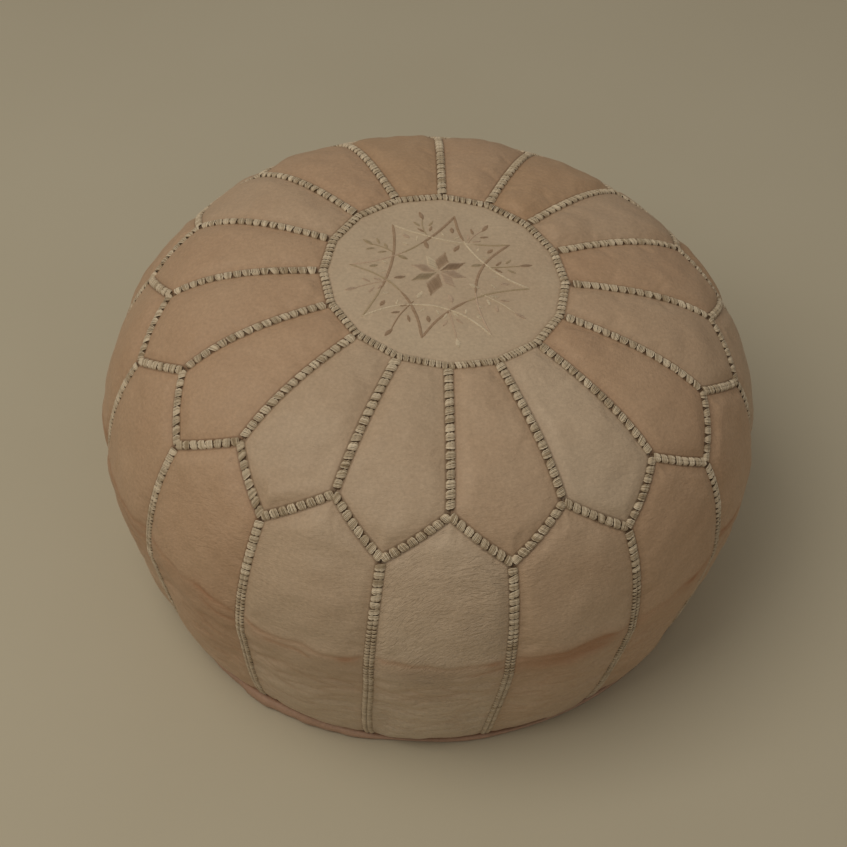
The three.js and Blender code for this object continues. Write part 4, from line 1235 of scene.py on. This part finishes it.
def base_piece(end, side):
    """One half of the base; side is -1 for the front and 1 for the back."""
    x = np.sin(np.linspace(-math.pi / 2, math.pi / 2, BASE_COLUMNS)) * BASE_REACH * BASE_RADIUS
    trough_ends = np.array([-1, 1]) * TROUGH_HALF_LENGTH * TROUGH_END_SHARE
    x = np.sort(np.concatenate([x, trough_ends]))[None, :]
    open_share = 1 - smoothstep(ZIP_HALF_LENGTH, ZIP_HALF_LENGTH + SLOT_END, np.abs(x))
    near = CLOSED_HALF_WIDTH + (SLOT_HALF_WIDTH - CLOSED_HALF_WIDTH) * open_share
    far = np.sqrt(BASE_RADIUS ** 2 - x ** 2)
    fine = np.linspace(0, 1, 22)[:, None]
    coarse = np.linspace(0, 1, 46)[1:, None] ** 1.1
    beside = np.minimum(20 * MM, far * 0.5)
    y = side * np.concatenate([near + (beside - near) * fine, beside + (far - beside) * coarse])
    x = x + 0 * y
    inside_rim = smoothstep(0, 14 * MM, BASE_RADIUS - np.hypot(x, y))
    off_trough = smoothstep(TROUGH_HALF_WIDTH, TROUGH_HALF_WIDTH + 14 * MM, np.abs(y))
    uneven = 0.4 * MM + 0.3 * MM * waves(np.stack([x, y, 0 * x], axis=-1), 60 * MM, 31)
    uneven = np.clip(uneven * inside_rim * off_trough, 0, 0.9 * MM)
    under = 0.15 * MM + trough_height(x, y) + uneven
    skins = two_skins(*(np.stack([x, y, z], axis=-1) for z in (under, under + BASE_SKIN)))
    faces = shell_faces(x.shape[1], len(y))
    distance = np.minimum(BASE_RADIUS - np.hypot(x, y), np.abs(np.abs(y) - 8.5 * MM) + 2 * MM)
    name = f"base_leather_{end}"
    mesh = fast_mesh(name, skins, faces[:, ::-1] if side < 0 else faces)
    add_piece(
        name, mesh, [BASE_LEATHER], "base_leather", f"base_panel_{end}",
        seam_distance=np.tile(distance.ravel(), 2), crease=np.zeros(distance.size * 2),
    )


def base_rim_piece():
    """The hem: a ring of sections, pushed out and up where its lip stands out."""
    azimuth = np.linspace(0, TURN, RIM_SECTIONS, endpoint=False)[:, None]
    lip = np.maximum(0.0, rim_lip(azimuth))
    wave = 0.45 * np.sin(19 * azimuth) + 0.4 * np.sin(31 * azimuth + 2) + 0.2 * np.sin(83 * azimuth)
    radius, z, push, lift = np.array(RIM_OUTLINE).T
    radius = radius + push * (3.0 + wave) * lip * MM
    z = z + lift * (4.2 + wave) * lip * MM
    points = np.stack([radius * np.sin(azimuth), -radius * np.cos(azimuth), z], axis=-1)
    index = np.arange(radius.size).reshape(radius.shape)
    mesh = fast_mesh("base_hem", points, belt_faces(index, np.roll(index, -1, axis=0)))
    # Painted shade on the part of the hem tucked in under the panels.
    tuck_shadow = 1 - smoothstep(RIM_OUTER - 4.4 * MM, RIM_OUTER - 1.6 * MM, radius)
    piece = add_piece(
        "base_hem", mesh, [HEM_LEATHER], "base_leather", "base_rim",
        seam_distance=np.full(radius.size, 20 * MM), crease=tuck_shadow,
    )
    smooth = piece.modifiers.new("smooth", "SUBSURF")
    smooth.levels = smooth.render_levels = 1


def running_stitches(name, spots, headings, length, lift_up, thread_radius):
    """Short surface stitches: spots and headings are (count, 3) arrays."""
    arch = np.array([0.35, -0.12, -0.22, -0.25, -0.22, -0.12, 0.35]) * MM * lift_up
    share = np.linspace(-0.5, 0.5, len(arch))
    paths = spots[:, None, :] + headings[:, None, :] * (share * length)[None, :, None]
    paths[..., 2] += arch
    tones = np.random.default_rng(5).uniform(0, 1, len(spots))
    mesh = fast_mesh(name, *tubes(paths, thread_radius))
    add_piece(name, mesh, [SEAM_THREAD], "seam_thread", tone=np.repeat(tones, len(arch) * TUBE_SIDES))


def base_stitches():
    azimuth = (np.arange(EDGE_STITCHES) + 0.5) * TURN / EDGE_STITCHES
    flat = 0 * azimuth
    radius = BASE_RADIUS - EDGE_STITCH_INSET
    spots = np.stack([radius * np.sin(azimuth), -radius * np.cos(azimuth), flat + 0.05 * MM], axis=-1)
    heading = np.stack([np.cos(azimuth), np.sin(azimuth), flat], axis=-1)
    running_stitches("base_edge_stitches", spots, heading, EDGE_STITCH_LENGTH, -0.2, 0.3 * MM)
    along = np.arange(-ZIP_HALF_LENGTH + 3 * MM, ZIP_HALF_LENGTH, ZIP_STITCH_PITCH)
    spots = np.array([(x, y, TROUGH_DEPTH - 0.05 * MM) for y in (-ZIP_STITCH_Y, ZIP_STITCH_Y) for x in along])
    heading = np.tile([1.0, 0, 0], (len(spots), 1))
    running_stitches("zip_stitches", spots, heading, ZIP_STITCH_LENGTH, 1.0, 0.28 * MM)


base_piece("front", -1)
base_piece("back", 1)
base_rim_piece()
base_stitches()

# ---- Zip ----------------------------------------------------------------------------------------
TAPE_COLUMNS = 301
TAPE_ROWS = 15
COIL_PITCH = 1.45 * MM
COIL_WIRE = 0.34 * MM
COIL_SAMPLES = 12


def tape_piece(end):
    """A zip tape, with the low ribs of its weave."""
    low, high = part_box(f"zip_tape_{end}")
    x = np.linspace(low[0], high[0], TAPE_COLUMNS)[None, :]
    y = np.linspace(low[1], high[1], TAPE_ROWS)[:, None]
    x, y = x + 0 * y, y + 0 * x
    cords = 0.08 * MM * np.cos(TURN * y / (2.4 * MM)) + 0.06 * MM * np.sin(TURN * x / (23 * MM))
    middle, half = (low[2] + high[2]) / 2, (high[2] - low[2]) / 2 - 0.15 * MM
    skins = two_skins(*(np.stack([x, y, z + cords], axis=-1) for z in (middle - half, middle + half)))
    name = f"zip_tape_woven_{end}"
    mesh = fast_mesh(name, skins, shell_faces(TAPE_COLUMNS, TAPE_ROWS))
    add_piece(name, mesh, [TAPE_CLOTH], "zip_tape", f"zip_tape_{end}")


def coil_piece(end, side):
    """A nylon coil: one wire wound along the tape's edge, its loops reaching to the other coil."""
    low, high = (np.array(corner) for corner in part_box(f"zip_coil_{end}"))
    turns = (high[0] - low[0] - 2 * COIL_WIRE) / COIL_PITCH
    angle = np.linspace(0, turns * TURN, int(turns * COIL_SAMPLES))
    middle, half = (low + high) / 2, (high - low) / 2 - COIL_WIRE
    x = low[0] + COIL_WIRE + COIL_PITCH * angle / TURN
    squarish = np.sign(np.cos(angle)) * np.abs(np.cos(angle)) ** 0.7
    path = np.stack([x, middle[1] + side * half[1] * squarish, middle[2] + half[2] * np.sin(angle)], axis=-1)
    points, quads, caps = tubes(path[None], COIL_WIRE)
    name = f"zip_coil_wound_{end}"
    mesh = fast_mesh(name, points, quads, caps)
    add_piece(name, mesh, [COIL_NYLON], "zip_coil", f"zip_coil_{end}", tone=np.full(len(points), 0.6))


def bevelled_copy(node, body_name, width):
    """A CAD node with its edges rounded off, for cast metal."""
    name = f"{node}_cast"
    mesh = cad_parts[node].data.copy()
    mesh.name = name
    shape = bmesh.new()
    shape.from_mesh(mesh)
    bmesh.ops.remove_doubles(shape, verts=shape.verts, dist=1e-6)
    bmesh.ops.dissolve_limit(shape, angle_limit=math.radians(1), verts=shape.verts, edges=shape.edges)
    sharp = [e for e in shape.edges if e.is_manifold and e.calc_face_angle(0) > math.radians(30)]
    bmesh.ops.bevel(
        shape, geom=sharp, offset=width, segments=3, profile=0.5, affect="EDGES",
        offset_type="OFFSET", clamp_overlap=True,
    )
    bmesh.ops.triangulate(shape, faces=[f for f in shape.faces if len(f.verts) > 4])
    shape.to_mesh(mesh)
    shape.free()
    mesh.polygons.foreach_set("use_smooth", np.ones(len(mesh.polygons), dtype=bool))
    add_piece(name, mesh, [BRASS], "zip_metal", node, body_name=body_name)


tape_piece("front")
tape_piece("back")
coil_piece("front", 1)
coil_piece("back", -1)
bevelled_copy("zip_slider", "slider", 0.35 * MM)
bevelled_copy("zip_pull", "pull", 0.4 * MM)
bevelled_copy("zip_closed_stop", "cover", 0.25 * MM)
bevelled_copy("zip_open_stop", "cover", 0.25 * MM)

# ---- Inside -------------------------------------------------------------------------------------
INNER_TURNS = 160
INNER_ROWS = 70
GROOVE_RISE = 18 * MM
# Half widths across and along the zip over which the groove falls from its full height to none.
GROOVE_ACROSS = (20.5 * MM, 24.5 * MM)
GROOVE_ALONG = (175 * MM, 180 * MM)
# Shares of the floor's radius: rows close together near the edge and the zip, then in to the middle.
FLOOR_SHARES = np.concatenate([np.linspace(1, 0.2, 60), np.linspace(0.2, 0.004, 14)[1:]])[:, None]
INSIDE_FOOT = 3 * MM
LINING_LUMPS = 0.3 * MM
STUFFING_LUMPS = 1.6 * MM
LINING_DEPTH = 6.3 * MM
STUFFING_DEPTH = 9.0 * MM


def inner_surface(name, depth, floor, lumps, seed):
    """Closed surface a depth inside the leather, level at the floor, with a groove over the zip."""
    azimuth = np.linspace(0, TURN, INNER_TURNS, endpoint=False)[None, :]
    arc = np.linspace(2 * MM, ARC_FOOT, INNER_ROWS)[:, None]
    sides = body(azimuth, arc, -depth)
    lumpy = lumps * (0.5 + 0.5 * waves(sides, 45 * MM, seed))
    sides = sides - outward(azimuth, arc + 0 * azimuth) * lumpy[..., None]
    sides[..., 2] = np.maximum(sides[..., 2], floor)
    edge_radius = np.minimum(np.hypot(sides[-1, :, 0], sides[-1, :, 1]), BASE_RADIUS - INSIDE_FOOT - depth)
    x = FLOOR_SHARES * edge_radius * np.sin(azimuth)
    y = -FLOOR_SHARES * edge_radius * np.cos(azimuth)
    over_zip = (1 - smoothstep(*GROOVE_ALONG, np.abs(x))) * (1 - smoothstep(*GROOVE_ACROSS, np.abs(y)))
    grid = np.concatenate([sides, np.stack([x, y, floor + GROOVE_RISE * over_zip], axis=-1)])
    index = np.arange(len(grid) * INNER_TURNS).reshape(len(grid), INNER_TURNS)
    middles = [body(0, 0, -depth), (0, 0, floor + GROOVE_RISE)]
    points = np.concatenate([grid.reshape(-1, 3), middles])
    caps = end_caps(index[0], index[-1], index.size)
    return fast_mesh(name, points, belt_faces(index[:-1], index[1:]), caps)


def inside_pieces():
    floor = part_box("lining_bag")[0][2]
    mesh = inner_surface("lining_cloth", LINING_DEPTH, floor, LINING_LUMPS, 61)
    add_piece("lining_cloth", mesh, [COTTON], "lining_cotton", "lining_bag")
    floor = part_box("stuffing")[0][2]
    mesh = inner_surface("stuffing_wadding", STUFFING_DEPTH, floor, STUFFING_LUMPS, 62)
    stuffing = add_piece("stuffing_wadding", mesh, [WADDING], "wadding", "stuffing")


inside_pieces()

# ---- Floor and light ----------------------------------------------------------------------------
FLOOR_REACH = 4.0
LIGHT_TARGET = Vector((0, 0, 0.12))
LIGHT_PLACE = Vector((-0.9, -0.45, 2.1))
LIGHT_SIZE = 1.5
LIGHT_POWER = 20
LIGHT_COLOR = (0.93, 0.89, 0.81)
SKY_COLOR = (0.94, 0.90, 0.84, 1)
SKY_STRENGTH = 0.30


def add_floor():
    mesh = bpy.data.meshes.new("floor")
    corners = [(x * FLOOR_REACH, y * FLOOR_REACH, 0) for x, y in ((-1, -1), (1, -1), (1, 1), (-1, 1))]
    mesh.from_pydata(corners, [], [(0, 1, 2, 3)])
    n = Nodes("floor_pale")
    color = n.mix(n.noise(3, 3), srgb(200, 190, 166), srgb(192, 181, 156))
    mesh.materials.append(n.finish(color, 0.9, specular=0.2))
    add_object("floor", mesh)


def add_lighting():
    world = bpy.data.worlds.new("studio")
    world.use_nodes = True
    sky = world.node_tree.nodes["Background"]
    sky.inputs["Color"].default_value = SKY_COLOR
    sky.inputs["Strength"].default_value = SKY_STRENGTH
    bpy.context.scene.world = world
    light = bpy.data.lights.new("key", "AREA")
    light.size = LIGHT_SIZE
    light.energy = LIGHT_POWER
    light.color = LIGHT_COLOR
    lamp = add_object("key", light)
    lamp.location = LIGHT_PLACE
    look_along(lamp, LIGHT_TARGET - LIGHT_PLACE)
    bpy.context.scene.view_settings.view_transform = "Standard"


add_floor()
add_lighting()
